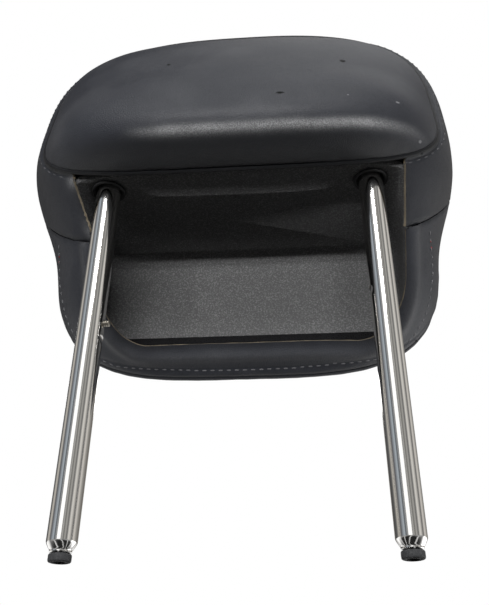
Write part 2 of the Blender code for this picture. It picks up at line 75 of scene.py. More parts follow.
class Side(Enum):
    """The two sides of the part, by the sign of x."""

    LEFT = -1
    RIGHT = 1

    @property
    def word(self) -> str:
        """The side's name as it stands in node names."""
        return self.name.lower()


def smooth_step(low: float, high: float, value: Points) -> Points:
    """Ease from 0 to 1 between two values.

    Args:
        low: Value at which the result is 0.
        high: Value at which the result is 1.
        value: Values to ease.

    Returns:
        The eased values.
    """
    share = np.clip((value - low) / (high - low), 0.0, 1.0)
    return share * share * (3.0 - 2.0 * share)


def bell(value: Points, spread: float) -> Points:
    """A smooth hump that is 1 where a value is 0 and falls off over a spread."""
    return np.exp(-(value / spread) ** 2)


def clear_selection() -> None:
    """Leave edit mode and deselect every object."""
    if bpy.context.object is not None and bpy.context.object.mode != "OBJECT":
        bpy.ops.object.mode_set(mode="OBJECT")
    bpy.ops.object.select_all(action="DESELECT")


def make_active(piece: Piece) -> None:
    """Select one object alone and make it active."""
    clear_selection()
    piece.select_set(True)
    bpy.context.view_layer.objects.active = piece


def start_piece(name: str, add: Callable[..., Any], **options: Any) -> Piece:
    """Start a piece from a primitive, with its place and turn put into its mesh.

    Args:
        name: Name of the piece.
        add: The operator that adds the primitive.
        options: The operator's settings.

    Returns:
        The new piece.
    """
    clear_selection()
    add(**options)
    piece = bpy.context.object
    piece.name = name
    bpy.ops.object.transform_apply(location=True, rotation=True, scale=True)
    return piece


@contextmanager
def editing(piece: Piece, kind: str = "VERT", chosen: Optional[Points] = None) -> Iterator[None]:
    """Work on a piece in edit mode, with some or all of it selected.

    Args:
        piece: The piece.
        kind: What is selected: VERT, EDGE or FACE.
        chosen: A flag for each edge or face, or None for everything.
    """
    make_active(piece)
    bpy.ops.object.mode_set(mode="EDIT")
    bpy.ops.mesh.select_mode(type=kind)
    bpy.ops.mesh.select_all(action="SELECT" if chosen is None else "DESELECT")
    if chosen is not None:
        bpy.ops.object.mode_set(mode="OBJECT")
        elements = piece.data.edges if kind == "EDGE" else piece.data.polygons
        elements.foreach_set("select", chosen)
        bpy.ops.object.mode_set(mode="EDIT")
    yield
    bpy.ops.object.mode_set(mode="OBJECT")


def apply_modifier(piece: Piece, modifier: bpy.types.Modifier, **settings: Any) -> None:
    """Set up one modifier of a piece and apply it."""
    for key, value in settings.items():
        setattr(modifier, key, value)
    make_active(piece)
    bpy.ops.object.modifier_apply(modifier=modifier.name)


def read_points(piece: Piece) -> Points:
    """The vertices of a piece as an array of rows."""
    flat = np.empty(len(piece.data.vertices) * 3)
    piece.data.vertices.foreach_get("co", flat)
    return flat.reshape(-1, 3)


def write_points(piece: Piece, points: Points) -> None:
    """Move the vertices of a piece."""
    piece.data.vertices.foreach_set("co", np.ascontiguousarray(points, dtype=float).ravel())
    piece.data.update()


def read_normals(piece: Piece) -> Points:
    """The vertex normals of a piece as an array of rows."""
    flat = np.empty(len(piece.data.vertices) * 3)
    piece.data.vertex_normals.foreach_get("vector", flat)
    return flat.reshape(-1, 3)


def store_values(piece: Piece, name: str, values: Points) -> None:
    """Keep a value for each vertex, for the material to read."""
    stored = piece.data.attributes.new(name, "FLOAT", "POINT")
    stored.data.foreach_set("value", values.astype(np.float32))


def dress(piece: Piece, *finishes: Material) -> None:
    """Give a piece its materials, in place of any that it has."""
    piece.data.materials.clear()
    for finish in finishes:
        piece.data.materials.append(finish)


def smooth_by_angle(piece: Piece, degrees: float) -> None:
    """Shade a piece smooth, with edges sharper than an angle left sharp."""
    make_active(piece)
    bpy.ops.object.shade_smooth_by_angle(angle=math.radians(degrees))


def carve(piece: Piece, cutter: Piece, operation: str = "DIFFERENCE") -> None:
    """Cut a piece with another object, which is then removed.

    Args:
        piece: The piece that is cut.
        cutter: The closed object that cuts it.
        operation: The Boolean's operation.
    """
    apply_modifier(piece, piece.modifiers.new("carve", "BOOLEAN"), operation=operation, solver="EXACT",
                   object=cutter)
    bpy.data.objects.remove(cutter, do_unlink=True)


def turned_piece(name: str, profile: Profile, place: Sequence[float], segments: int = 64) -> Piece:
    """Turn a profile about an upright axis, ring by ring.

    Args:
        name: Name of the piece.
        profile: Radius and height of each ring, in order; the last may repeat the first.
        place: Point on the axis from which heights count.
        segments: Steps round the axis.

    Returns:
        The turned piece.
    """
    x, y, z = place
    radius, height = profile[0]
    piece = start_piece(name, bpy.ops.mesh.primitive_circle_add, vertices=segments, radius=radius,
                        location=(x, y, z + height))
    with editing(piece, "EDGE"):
        for (old_radius, old_height), (new_radius, new_height) in zip(profile, profile[1:]):
            step = (0, 0, new_height - old_height)
            bpy.ops.mesh.extrude_region_move(TRANSFORM_OT_translate={"value": step})
            grow = new_radius / old_radius
            bpy.ops.transform.resize(value=(grow, grow, 1), center_override=(x, y, z + new_height))
        bpy.ops.mesh.select_all(action="SELECT")
        bpy.ops.mesh.remove_doubles(threshold=2 * TINY)
        bpy.ops.mesh.normals_make_consistent(inside=False)
    smooth_by_angle(piece, 40)
    return piece


def rod(name: str, radius: float, middle: Sequence[float], length: float, axis: str) -> Piece:
    """A round rod along X, Y or Z, used as a cutter.

    Args:
        name: Name of the rod.
        radius: Its radius.
        middle: Its middle.
        length: Its length.
        axis: The axis it lies along.

    Returns:
        The rod.
    """
    turns = {"X": (0, math.pi / 2, 0), "Y": (math.pi / 2, 0, 0), "Z": (0, 0, 0)}
    return start_piece(name, bpy.ops.mesh.primitive_cylinder_add, vertices=64, radius=radius, depth=length,
                       location=middle, rotation=turns[axis])


def make_tree(points: Points) -> KDTree:
    """A search tree of points."""
    tree = KDTree(len(points))
    for number, place in enumerate(points):
        tree.insert(place, number)
    tree.balance()
    return tree


Value = Union["Wire", float]


def operator(operation: str, swapped: bool = False) -> Callable[["Wire", Value], "Wire"]:
    """An arithmetic method of Wire.

    Args:
        operation: The Math node's operation.
        swapped: Whether the wire is the second operand.

    Returns:
        The method, which adds one Math node.
    """
    def method(wire: "Wire", other: Value) -> "Wire":
        """Add the Math node."""
        first, second = (other, wire) if swapped else (wire, other)
        return wire.sheet.node("ShaderNodeMath", {"operation": operation}, {0: first, 1: second})

    return method


class Wire:
    """A shader socket whose arithmetic adds Math nodes to its sheet."""

    __add__, __radd__ = operator("ADD"), operator("ADD", True)
    __sub__, __rsub__ = operator("SUBTRACT"), operator("SUBTRACT", True)
    __mul__, __rmul__ = operator("MULTIPLY"), operator("MULTIPLY", True)
    __truediv__ = operator("DIVIDE")

    def __init__(self, sheet: "ShaderSheet", socket: bpy.types.NodeSocket) -> None:
        """Keep the socket and the sheet it belongs to."""
        self.sheet = sheet
        self.socket = socket

    def eased(self, low: float, high: float) -> "Wire":
        """Ease this value from 0 to 1 between two limits."""
        inputs = {"Value": self, "From Min": low, "From Max": high}
        return self.sheet.node("ShaderNodeMapRange", {"interpolation_type": "SMOOTHSTEP"}, inputs)


class ShaderSheet:
    """A material or world whose nodes are added one by one."""

    def __init__(self, owner: Union[Material, bpy.types.World]) -> None:
        """Start with an empty tree."""
        owner.use_nodes = True
        self.tree = owner.node_tree
        self.tree.nodes.clear()

    def node(self, kind: str, settings: Optional[dict[str, Any]] = None,
             inputs: Optional[dict[Any, Any]] = None, output: Union[int, str] = 0) -> Wire:
        """Add a node of any type.

        Args:
            kind: The node's type.
            settings: Properties, or a ramp's stops under the key stops.
            inputs: Values or links of its sockets, by name or number.
            output: The output that is handed back.

        Returns:
            A wire from that output.
        """
        made = self.tree.nodes.new(kind)
        for key, value in (settings or {}).items():
            if key == "stops":
                self._set_stops(made, value)
            else:
                setattr(made, key, value)
        for key, value in (inputs or {}).items():
            if isinstance(value, Wire):
                self.tree.links.new(value.socket, made.inputs[key])
            else:
                made.inputs[key].default_value = value
        return Wire(self, made.outputs[output])

    @staticmethod
    def _set_stops(ramp: bpy.types.Node, stops: Sequence[tuple[float, Color]]) -> None:
        """Fill a colour ramp."""
        elements = ramp.color_ramp.elements
        while len(elements) < len(stops):
            elements.new(1.0)
        for element, (place, color) in zip(elements, stops):
            element.position = place
            element.color = (*color, 1.0)

    def end(self, kind: str, surface: Wire) -> None:
        """Add the output node."""
        made = self.tree.nodes.new(kind)
        self.tree.links.new(surface.socket, made.inputs["Surface"])

    def coordinates(self) -> Wire:
        """The piece's object coordinates."""
        return self.node("ShaderNodeTexCoord", output="Object")

    def part_of(self, vector: Wire, axis: str) -> Wire:
        """One of a vector's three numbers."""
        return self.node("ShaderNodeSeparateXYZ", None, {0: vector}, axis)

    def scaled(self, vector: Wire, scale: Sequence[float]) -> Wire:
        """Coordinates stretched by a scale."""
        return self.node("ShaderNodeMapping", None, {"Vector": vector, "Scale": scale})

    def noise(self, vector: Wire, scale: float, detail: float = 4.0, roughness: float = 0.55) -> Wire:
        """Cloudy noise between 0 and 1."""
        inputs = {"Vector": vector, "Scale": scale, "Detail": detail, "Roughness": roughness}
        return self.node("ShaderNodeTexNoise", None, inputs, "Fac")

    def cells(self, vector: Wire, scale: float, feature: str = "F1") -> Wire:
        """Distance to the nearest cell point, or to the nearest cell wall."""
        inputs = {"Vector": vector, "Scale": scale}
        return self.node("ShaderNodeTexVoronoi", {"feature": feature}, inputs, "Distance")

    def distance_to(self, vector: Wire, place: Sequence[float]) -> Wire:
        """Distance from a point."""
        inputs = {0: vector, 1: tuple(place)}
        return self.node("ShaderNodeVectorMath", {"operation": "DISTANCE"}, inputs, "Value")

    def mix(self, share: Value, first: Any, second: Any) -> Wire:
        """Mix two colours, each a wire or three numbers."""
        ends = [end if isinstance(end, Wire) else (*end, 1.0) for end in (first, second)]
        return self.node("ShaderNodeMix", {"data_type": "RGBA"}, {0: share, 6: ends[0], 7: ends[1]}, 2)

    def bump(self, height: Wire, strength: float, distance: float) -> Wire:
        """A bumped normal."""
        inputs = {"Height": height, "Strength": strength, "Distance": distance}
        return self.node("ShaderNodeBump", None, inputs)

    def attribute(self, name: str) -> Wire:
        """A value stored on the mesh."""
        return self.node("ShaderNodeAttribute", {"attribute_name": name}, None, "Fac")

    def seen(self) -> Wire:
        """1 for rays by which the camera sees a surface directly, mirrored or through glass, else 0."""
        rays = [self.node("ShaderNodeLightPath", output=name)
                for name in ("Is Camera Ray", "Is Glossy Ray", "Is Transmission Ray")]
        return (rays[0] + rays[1] + rays[2]).eased(0.0, 1.0)


@dataclass(frozen=True)
class Finish:
    """A material, painted on a sheet of its own."""

    name: str

    def paint(self, sheet: ShaderSheet, place: Wire) -> dict[str, Any]:
        """Lay out the nodes.

        Args:
            sheet: The material's sheet.
            place: The piece's object coordinates.

        Returns:
            The inputs of the Principled shader.
        """
        raise NotImplementedError

    def build(self) -> Material:
        """Make the material."""
        material = bpy.data.materials.new(self.name)
        sheet = ShaderSheet(material)
        inputs = self.paint(sheet, sheet.coordinates())
        sheet.end("ShaderNodeOutputMaterial", sheet.node("ShaderNodeBsdfPrincipled", None, inputs))
        return material


@dataclass(frozen=True)
class Mark:
    """A small mark on the leather, a scar or a painted highlight: its place, radius, colour, depth and length
    along x.
    """

    place: tuple[float, float, float]
    radius: float
    color: Color
    depth: float = 0.8
    longer: float = 1.0


@dataclass(frozen=True)
class LeatherFinish(Finish):
    """Charcoal leather with a fine pebbled grain, faint dust and dark seams."""

    color: Color = (0.0205, 0.0222, 0.0284)
    dust: Color = (0.060, 0.062, 0.069)
    # Pale colour for rubbed places; it also paints highlights along the rear crease and the lip's ridge.
    worn: Color = (0.43, 0.432, 0.436)
    marks: tuple[Mark, ...] = ()
    grain_scale: float = 820.0
    gloss: float = 0.5
    # Painted shade: the height below which the colour darkens, and the rise over which the darkening fades,
    # for a face that turns down.
    shade_height: Optional[float] = None
    shade_rise: float = 0.010
    # Marks darker than this are drawn as holes: near black and metallic, so that they reflect nothing, which
    # paints the shade inside them.
    hole_level: float = 0.01

    def darker(self, share: float) -> Color:
        """The leather's colour, darkened to a share."""
        return tuple(share * part for part in self.color)

    def paint(self, sheet: ShaderSheet, place: Wire) -> dict[str, Any]:
        """Grain, dust, dark seams, scars, rubbed places with painted highlights, painted shade inside holes
        and painted shade below a height.
        """
        clouds = sheet.noise(place, 22.0, 5.0)
        patches = sheet.noise(place, 75.0)
        specks = sheet.noise(place, 1100.0, 2.0)
        walls = sheet.cells(place, self.grain_scale, "DISTANCE_TO_EDGE").eased(0.0, 0.16)
        fine = sheet.noise(place, 2600.0, 3.0)
        folds = sheet.noise(sheet.scaled(place, (60.0, 160.0, 160.0)), 1.0, 5.0)
        seams = 1.0 - sheet.attribute("edge").eased(0.0, 0.0035)
        specked = specks.eased(0.60, 0.78) * patches.eased(0.45, 0.62)
        color = sheet.mix(clouds.eased(0.42, 0.72) * 0.45 + specked * 0.5, self.color, self.dust)
        color = sheet.mix((1.0 - walls) * 0.35, color, self.darker(0.45))
        color = sheet.mix(seams * 0.6, color, self.darker(0.4))
        # Painted shade on the rear panel's lower face, which turns down and away from the light.
        if self.shade_height is not None:
            level = sheet.part_of(place, "Z")
            painted_shade = 1.0 - level.eased(self.shade_height, self.shade_height + self.shade_rise)
            color = sheet.mix(painted_shade * 0.9, color, self.darker(0.35))
        height = walls * 0.6 + fine * 0.25 + folds * 0.35
        hole_shade: Value = 0.0
        for mark in self.marks:
            ragged = sheet.noise(place, 900.0, 2.0) * mark.radius
            middle = (mark.place[0] / mark.longer, mark.place[1], mark.place[2])
            reach = sheet.distance_to(sheet.scaled(place, (1.0 / mark.longer, 1.0, 1.0)), middle) + ragged
            spot = 1.0 - reach.eased(mark.radius, 1.5 * mark.radius)
            color = sheet.mix(spot, color, mark.color)
            height = height - spot * mark.depth
            # Painted shade: a near-black mark turns metallic and reflects nothing, like the shadowed inside
            # of a nick.
            if max(mark.color) < self.hole_level:
                hole_shade = hole_shade + spot
        # Painted highlights and rubbing: the stored value pales the leather towards the worn colour, in
        # speckles.
        rub_and_highlight_grain = sheet.noise(place, 1700.0, 3.0).eased(0.36, 0.66)
        color = sheet.mix(sheet.attribute("wear_and_highlight") * (rub_and_highlight_grain * 0.6 + 0.4), color, self.worn)
        roughness = 0.47 + clouds * 0.12 - walls * 0.05 + seams * 0.1
        return {"Base Color": color, "Roughness": roughness, "Normal": sheet.bump(height, 0.45, 0.00026),
                "Specular IOR Level": self.gloss, "Metallic": hole_shade}


@dataclass(frozen=True)
class RawEdgeFinish(Finish):
    """The cut edge of the hide, tan and fibrous."""

    name: str = "raw_leather_edge"
    color: Color = (0.26, 0.215, 0.150)
    dark: Color = (0.070, 0.060, 0.046)

    def paint(self, sheet: ShaderSheet, place: Wire) -> dict[str, Any]:
        """Fibres and stains."""
        fibres = sheet.noise(place, 1500.0)
        stain = sheet.noise(place, 60.0, 3.0).eased(0.40, 0.62)
        color = sheet.mix(fibres * 0.6 + stain * 0.4, self.color, self.dark)
        normal = sheet.bump(fibres, 0.5, 0.0002)
        return {"Base Color": color, "Roughness": 0.85 + fibres * 0.1, "Normal": normal}


@dataclass(frozen=True)
class PlasticFinish(Finish):
    """Moulded plastic with a spark-eroded grain."""

    color: Color = (0.109, 0.109, 0.110)
    peak: Color = (0.39, 0.39, 0.39)
    roughness: float = 0.55
    grain_scale: float = 1250.0
    grain: float = 0.55

    def paint(self, sheet: ShaderSheet, place: Wire) -> dict[str, Any]:
        """Pebbles with pale peaks, wiped here and there."""
        pebbles = sheet.cells(place, self.grain_scale).eased(0.15, 0.75)
        fine = sheet.noise(place, 0.85 * self.grain_scale, 3.0, 0.7)
        wipe = sheet.noise(sheet.scaled(place, (18.0, 30.0, 30.0)), 1.0)
        peaks = fine.eased(0.46, 0.66) * (0.35 + wipe * 0.65)
        color = sheet.mix(peaks * self.grain, self.color, self.peak)
        normal = sheet.bump((1.0 - pebbles) * 0.7 + fine * 0.5, self.grain, 0.0002)
        roughness = self.roughness + wipe * 0.14 - peaks * 0.1
        return {"Base Color": color, "Roughness": roughness, "Normal": normal, "Specular IOR Level": 0.15}


@dataclass(frozen=True)
class MetalFinish(Finish):
    """Plated metal with streaks along its length and a little wear."""

    color: Color = (0.80, 0.79, 0.77)
    worn: Color = (0.55, 0.53, 0.50)
    roughness: float = 0.07
    streak: tuple[float, float, float] = (2200.0, 2200.0, 14.0)

    def paint(self, sheet: ShaderSheet, place: Wire) -> dict[str, Any]:
        """Streaks, clouds and pits."""
        streaks = sheet.noise(sheet.scaled(place, self.streak), 1.0, 3.0)
        clouds = sheet.noise(place, 55.0, 5.0)
        pits = sheet.cells(place, 420.0).eased(0.03, 0.14)
        worn = (1.0 - pits) * clouds.eased(0.50, 0.66) + streaks.eased(0.60, 0.85) * 0.25
        roughness = self.roughness + streaks * 0.06 + worn * 0.22 + clouds.eased(0.55, 0.75) * 0.06
        normal = sheet.bump(streaks * 0.3 + clouds * 0.7, 0.02, 0.0003)
        return {"Base Color": sheet.mix(worn, self.color, self.worn), "Roughness": roughness, "Metallic": 1.0,
                "Normal": normal}


@dataclass(frozen=True)
class ThreadFinish(Finish):
    """Twisted sewing thread."""

    color: Color = (0.040, 0.040, 0.043)
    light: Color = (0.150, 0.150, 0.158)

    def paint(self, sheet: ShaderSheet, place: Wire) -> dict[str, Any]:
        """The thread's twist and fluff."""
        twist = sheet.node("ShaderNodeTexWave", {"bands_direction": "DIAGONAL"},
                           {"Vector": place, "Scale": 900.0, "Distortion": 1.5}, "Fac")
        fluff = sheet.noise(place, 2500.0, 3.0)
        color = sheet.mix(twist * 0.45 + fluff * 0.35, self.color, self.light)
        normal = sheet.bump(twist + fluff * 0.5, 0.4, 0.0002)
        return {"Base Color": color, "Roughness": 0.62 + fluff * 0.2, "Normal": normal}


@dataclass(frozen=True)
class FoamFinish(Finish):
    """Open-cell moulded foam, near black: painted shade where it shows in the groove below the tray's wall.
    """

    name: str = "shaded_foam"
    color: Color = (0.014, 0.014, 0.015)
    dark: Color = (0.006, 0.006, 0.006)

    def paint(self, sheet: ShaderSheet, place: Wire) -> dict[str, Any]:
        """Pores and age."""
        pores = sheet.cells(place, 900.0).eased(0.1, 0.5)
        age = sheet.noise(place, 30.0)
        color = sheet.mix((1.0 - pores) * 0.6 + age * 0.3, self.color, self.dark)
        return {"Base Color": color, "Roughness": 0.92 - age * 0.05, "Normal": sheet.bump(pores, 0.6, 0.0004),
                "Specular IOR Level": 0.05}


@dataclass(frozen=True)
class FloorFinish(Finish):
    """A pale floor that turns white far away, and is dark to every ray that only carries light."""

    level: float = 0.0
    dark: Color = (0.02, 0.02, 0.02)
    pale: Color = (0.50, 0.50, 0.50)
    cloudy: Color = (0.48, 0.48, 0.48)
    near_glow: Color = (0.52, 0.52, 0.52)
    far_glow: Color = (1.0, 1.0, 1.0)

    def paint(self, sheet: ShaderSheet, place: Wire) -> dict[str, Any]:
        """Faint clouds, and a glow that grows with distance."""
        far = sheet.distance_to(place, (0.0, 0.0, self.level)).eased(0.3, 2.3)
        pale = sheet.mix(sheet.noise(place, 3.0, 2.0) * 0.2, self.pale, self.cloudy)
        seen = sheet.seen()
        color = sheet.mix(seen, self.dark, sheet.mix(far, pale, BLACK))
        glow = sheet.mix(seen, BLACK, sheet.mix(far, self.near_glow, self.far_glow))
        return {"Base Color": color, "Roughness": 0.9, "Emission Color": glow, "Emission Strength": 1.0,
                "Specular IOR Level": 0.0}


@dataclass(frozen=True)
class CushionShape:
    """The cushion's outer form: two seam rings, crowned panels and a bulging band."""

    rear_half_width: float = 0.1183
    rear_widest: float = 0.058
    rear_top: float = 0.1514
    rear_low: float = -0.0014
    seam_low_y: float = -0.016
    seam_high_y: float = 0.018
    seam_curve: float = 0.85
    rear_rounding_low: float = 5.2
    rear_rounding_high: float = 2.7
    rear_crown: float = 0.036
    shelf_start: float = 0.30
    front_half_width: float = 0.1250
    front_middle: float = 0.0293
    front_half_height: float = 0.1227
    front_rounding: float = 3.8
    front_y: float = 0.067
    front_crown: float = 0.031
    bulge: float = 0.0045
    side_bulge: float = 0.0078
    side_bulge_low: float = -0.4
    cheek_bulge: float = 0.0024
    waist: float = 0.0125
    waist_height: float = -0.022
    waist_spread: float = 0.031
    opening_half_width: float = 0.0958
    opening_low: float = -0.0780
    opening_high: float = 0.0040
    opening_corner: float = 0.030
    opening_lean: float = 0.35
    opening_lean_drop: float = 0.028
    cheek_seam_y: float = 0.0235
    cheek_seam_drop: float = 0.008
    cheek_seam_lean: float = 0.60
    cheek_seam_slope: float = 0.76
    cheek_seam_bend: float = 0.006

    def seam_line(self, height: Points) -> Points:
        """How far forward the rear seam lies at a height above the tray."""
        share = np.clip(height / self.rear_top, 0.0, 1.0)
        return self.seam_low_y + (self.seam_high_y - self.seam_low_y) * share ** self.seam_curve

    def rear_ring(self, u: Points, v: Points) -> tuple[Points, Points]:
        """The rear seam as width and height, for directions on the unit square."""
        rounding = np.where(v < 0, self.rear_rounding_low, self.rear_rounding_high)
        reach = np.where(v < 0, self.rear_widest - self.rear_low, self.rear_top - self.rear_widest)
        length = (np.abs(u) ** rounding + np.abs(v) ** rounding) ** (1 / rounding)
        return self.rear_half_width * u / length, self.rear_widest + reach * v / length

    def front_ring(self, u: Points, v: Points) -> tuple[Points, Points]:
        """The front seam as width and height, for directions on the unit square."""
        n = self.front_rounding
        length = (np.abs(u) ** n + np.abs(v) ** n) ** (1 / n)
        return self.front_half_width * u / length, self.front_middle + self.front_half_height * v / length

    @staticmethod
    def split(u: Points, v: Points) -> tuple[Points, Points, Points]:
        """Split square points into reach and direction."""
        reach = np.maximum(np.abs(u), np.abs(v))
        safe = np.where(reach == 0, 1.0, reach)
        return reach, np.where(reach == 0, 1.0, u / safe), np.where(reach == 0, 0.0, v / safe)

    def rear_point(self, u: Points, v: Points) -> Points:
        """Points of the crowned rear panel."""
        reach, a, b = self.split(u, v)
        width, height = self.rear_ring(a, b)
        z = self.rear_widest + (height - self.rear_widest) * reach
        rise = np.maximum(z - self.rear_widest, 0.0) / (self.rear_top - self.rear_widest)
        shelf = np.where(b < 0, 1.0 - smooth_step(self.shelf_start, 1.0, np.abs(a)), 0.0)
        steep = np.maximum(1 - reach ** 6, 0.0) ** 0.45
        low = smooth_step(-0.1, 0.7, -b)
        gentle = np.maximum(1 - reach ** (4 + 2 * low), 0.0) ** (0.8 + 0.15 * low)
        crown = self.rear_crown * (gentle + (steep - gentle) * shelf) * (1 - 0.8 * rise ** 1.8)
        return np.stack([width * reach, self.seam_line(z) - crown, TRAY_Z + z], axis=-1)

    def front_point(self, u: Points, v: Points) -> Points:
        """Points of the crowned front panel."""
        reach, a, b = self.split(u, v)
        width, height = self.front_ring(a, b)
        z = self.front_middle + (height - self.front_middle) * reach
        crown = self.front_crown * np.sqrt(np.maximum(1 - reach ** 3, 0.0))
        return np.stack([width * reach, self.front_y + crown, TRAY_Z + z], axis=-1)

    def band_point(self, u: Points, v: Points, w: Points) -> Points:
        """Points of the bulging band between the seams, w from -1 at the rear to 1."""
        rear_x, rear_z = self.rear_ring(u, v)
        front_x, front_z = self.front_ring(u, v)
        share = (w + 1) / 2
        length = np.hypot(u, v)
        fade = smooth_step(-self.side_bulge_low, 1.0, -v)
        corner = self.cheek_bulge * np.maximum(0.0, -v) * np.abs(u)
        most = self.bulge + self.side_bulge * u * u * (1 - 0.55 * fade) + corner
        swell = most * np.maximum(1 - w * w, 0.0) ** (0.5 + 0.5 * fade)
        x = rear_x + (front_x - rear_x) * share + swell * u / length
        y = self.seam_line(rear_z) + (self.front_y - self.seam_line(rear_z)) * share
        z = rear_z + (front_z - rear_z) * share + swell * v / length
        arch = np.sqrt(np.maximum(1 - w * w, 0.0))
        pull = self.waist * bell(z - self.waist_height, self.waist_spread) * arch
        x = x - np.sign(x) * pull * smooth_step(0.06, 0.10, np.abs(x))
        return np.stack([x, y, TRAY_Z + z], axis=-1)

    def opening_distance(self, points: Points) -> Points:
        """Distance outside the tray's opening, seen from the rear."""
        height = points[:, 2] - TRAY_Z
        lean = self.opening_lean * np.clip(-height, 0.0, self.opening_lean_drop)
        half_width = self.opening_half_width - np.where(points[:, 0] < 0, lean, 0.0)
        across = np.abs(points[:, 0]) - (half_width - self.opening_corner)
        below = self.opening_low + self.opening_corner - height
        outside = np.hypot(np.maximum(across, 0.0), np.maximum(below, 0.0))
        walls = outside + np.minimum(np.maximum(across, below), 0.0) - self.opening_corner
        return np.maximum(walls, height - self.opening_high)

    def cheek_distance(self, points: Points) -> Points:
        """Distance behind the curved seam between cheeks and lip."""
        rise = points[:, 2] - TRAY_Z + self.cheek_seam_drop
        bend = self.cheek_seam_bend * np.logaddexp(0.0, rise / self.cheek_seam_bend)
        steeper = self.cheek_seam_slope - self.cheek_seam_lean
        line = self.cheek_seam_y + self.cheek_seam_lean * rise + steeper * bend
        slope = np.where(rise < 0, self.cheek_seam_lean, self.cheek_seam_slope)
        return (line - points[:, 1]) / np.hypot(1.0, slope)


SHAPE = CushionShape()
CUSHION_MIDDLE = np.array([0.0, 0.035, TRAY_Z + 0.04])
SEAM_GAP = 0.0001


def spread(grid: Points) -> Points:
    """Even grid coordinates from -1 to 1, drawn closer together towards both ends."""
    return np.sin(grid * math.pi / 2)


def square_direction(angle: Points) -> tuple[Points, Points]:
    """Directions at angles, pushed out onto the unit square."""
    u, v = np.cos(angle), np.sin(angle)
    reach = np.maximum(np.abs(u), np.abs(v))
    return u / reach, v / reach


class BandPath:
    """Even steps round the band, from the bottom's middle through the right side."""

    def __init__(self, shape: CushionShape) -> None:
        """Measure the band's middle line."""
        self.angles = np.linspace(-math.pi / 2, 1.5 * math.pi, 2401)
        line = shape.band_point(*square_direction(self.angles), np.zeros_like(self.angles))
        steps = np.linalg.norm(np.diff(line, axis=0), axis=1)
        self.lengths = np.concatenate([[0.0], np.cumsum(steps)])
        self.total = float(self.lengths[-1])

    def direction(self, share: Points) -> tuple[Points, Points]:
        """Directions at shares of the way round; negative shares go round the left."""
        turn = np.floor(share)
        angle = np.interp((share - turn) * self.total, self.lengths, self.angles)
        return square_direction(angle)


PATH = BandPath(SHAPE)


@dataclass
class PaddingSim:
    """Swells the cushion like stuffed cloth held at its seams, and hands out the movement."""

    shape: CushionShape
    cap: float = 0.0028
    voxel: float = 0.0055
    held_near: float = 0.004
    free_from: float = 0.020
    pressure: float = 4.0
    cloth_mass: float = 0.25
    quality: int = 4
    frames: int = 20
    neighbours: int = 5
    softness: float = 0.001
    tree: Optional[KDTree] = None
    moves: Points = field(default_factory=lambda: np.zeros((0, 3)))

    def closed_form(self, name: str, inset: float, cuts: int = 23) -> Piece:
        """Make the cushion's closed form from a subdivided cube.

        Args:
            name: Name of the object.
            inset: How far its surface lies inside the true form.
            cuts: Cuts along each edge of the cube.

        Returns:
            The closed form.
        """
        form = start_piece(name, bpy.ops.mesh.primitive_cube_add, size=2.0)
        with editing(form):
            bpy.ops.mesh.subdivide(number_cuts=cuts)
        cube = read_points(form)
        u, w, v = spread(cube[:, 0]), cube[:, 1], spread(cube[:, 2])
        rear, front = w < -0.999, w > 0.999
        side = ~(rear | front)
        points = np.empty_like(cube)
        points[rear] = self.shape.rear_point(u[rear], v[rear])
        points[front] = self.shape.front_point(u[front], v[front])
        points[side] = self.shape.band_point(u[side], v[side], w[side])
        write_points(form, points)
        if inset:
            write_points(form, points - read_normals(form) * inset)
        return form

    def seam_distance(self, points: Points) -> Points:
        """Distance of points from the nearest sewn or held line."""
        u, v = square_direction(np.linspace(0, 2 * math.pi, 361))
        lines = [self.shape.band_point(u, v, np.full_like(u, w)) for w in (-1.0, 1.0)]
        tree = make_tree(np.concatenate(lines))
        seam = np.array([tree.find(point)[2] for point in points])
        under = (points[:, 2] < TRAY_Z + 0.02) & (points[:, 1] < self.shape.front_y)
        opening = np.where(under, self.shape.opening_distance(points), 1.0)
        return np.minimum(seam, np.maximum(opening, 0.0))

    def run(self) -> Piece:
        """Remesh and swell the form.

        Returns:
            The swollen foam body, with its movement kept for the panels.
        """
        form = self.closed_form("foam_pad", 0.0)
        apply_modifier(form, form.modifiers.new("remesh", "REMESH"), mode="VOXEL", voxel_size=self.voxel)
        start = read_points(form)
        self._swell(form, start)
        write_points(form, start + self.moves)
        self.tree = make_tree(start)
        return form

    def _swell(self, form: Piece, start: Points) -> None:
        """Run the cloth and keep its movement, up to the cap.

        Args:
            form: The remeshed form.
            start: Its vertices before the cloth runs.
        """
        held = form.vertex_groups.new(name="held")
        weights = 1.0 - smooth_step(self.held_near, self.free_from, self.seam_distance(start))
        for number, weight in enumerate(weights):
            held.add([number], float(weight), "REPLACE")
        cloth = form.modifiers.new("padding", "CLOTH")
        cloth.settings.quality = self.quality
        cloth.settings.mass = self.cloth_mass
        cloth.settings.use_pressure = True
        cloth.settings.uniform_pressure_force = self.pressure
        cloth.settings.vertex_group_mass = "held"
        cloth.settings.effector_weights.gravity = 0.0
        cloth.point_cache.frame_start = 1
        cloth.point_cache.frame_end = self.frames
        for number in range(1, self.frames + 1):
            bpy.context.scene.frame_set(number)
        apply_modifier(form, cloth)
        bpy.context.scene.frame_set(1)
        moves = read_points(form) - start
        size = np.linalg.norm(moves, axis=1, keepdims=True)
        self.moves = moves * np.minimum(1.0, self.cap / np.maximum(size, 1e-9))

    def move_at(self, points: Points) -> Points:
        """The movement of the padding under points of the surface."""
        result = np.zeros_like(points)
        if not np.any(self.moves):
            return result
        for number, point in enumerate(points):
            near = self.tree.find_n(point, self.neighbours)
            weights = np.array([1.0 / (distance + self.softness) ** 2 for _, _, distance in near])
            moves = self.moves[[index for _, index, _ in near]]
            result[number] = weights @ moves / weights.sum()
        return result


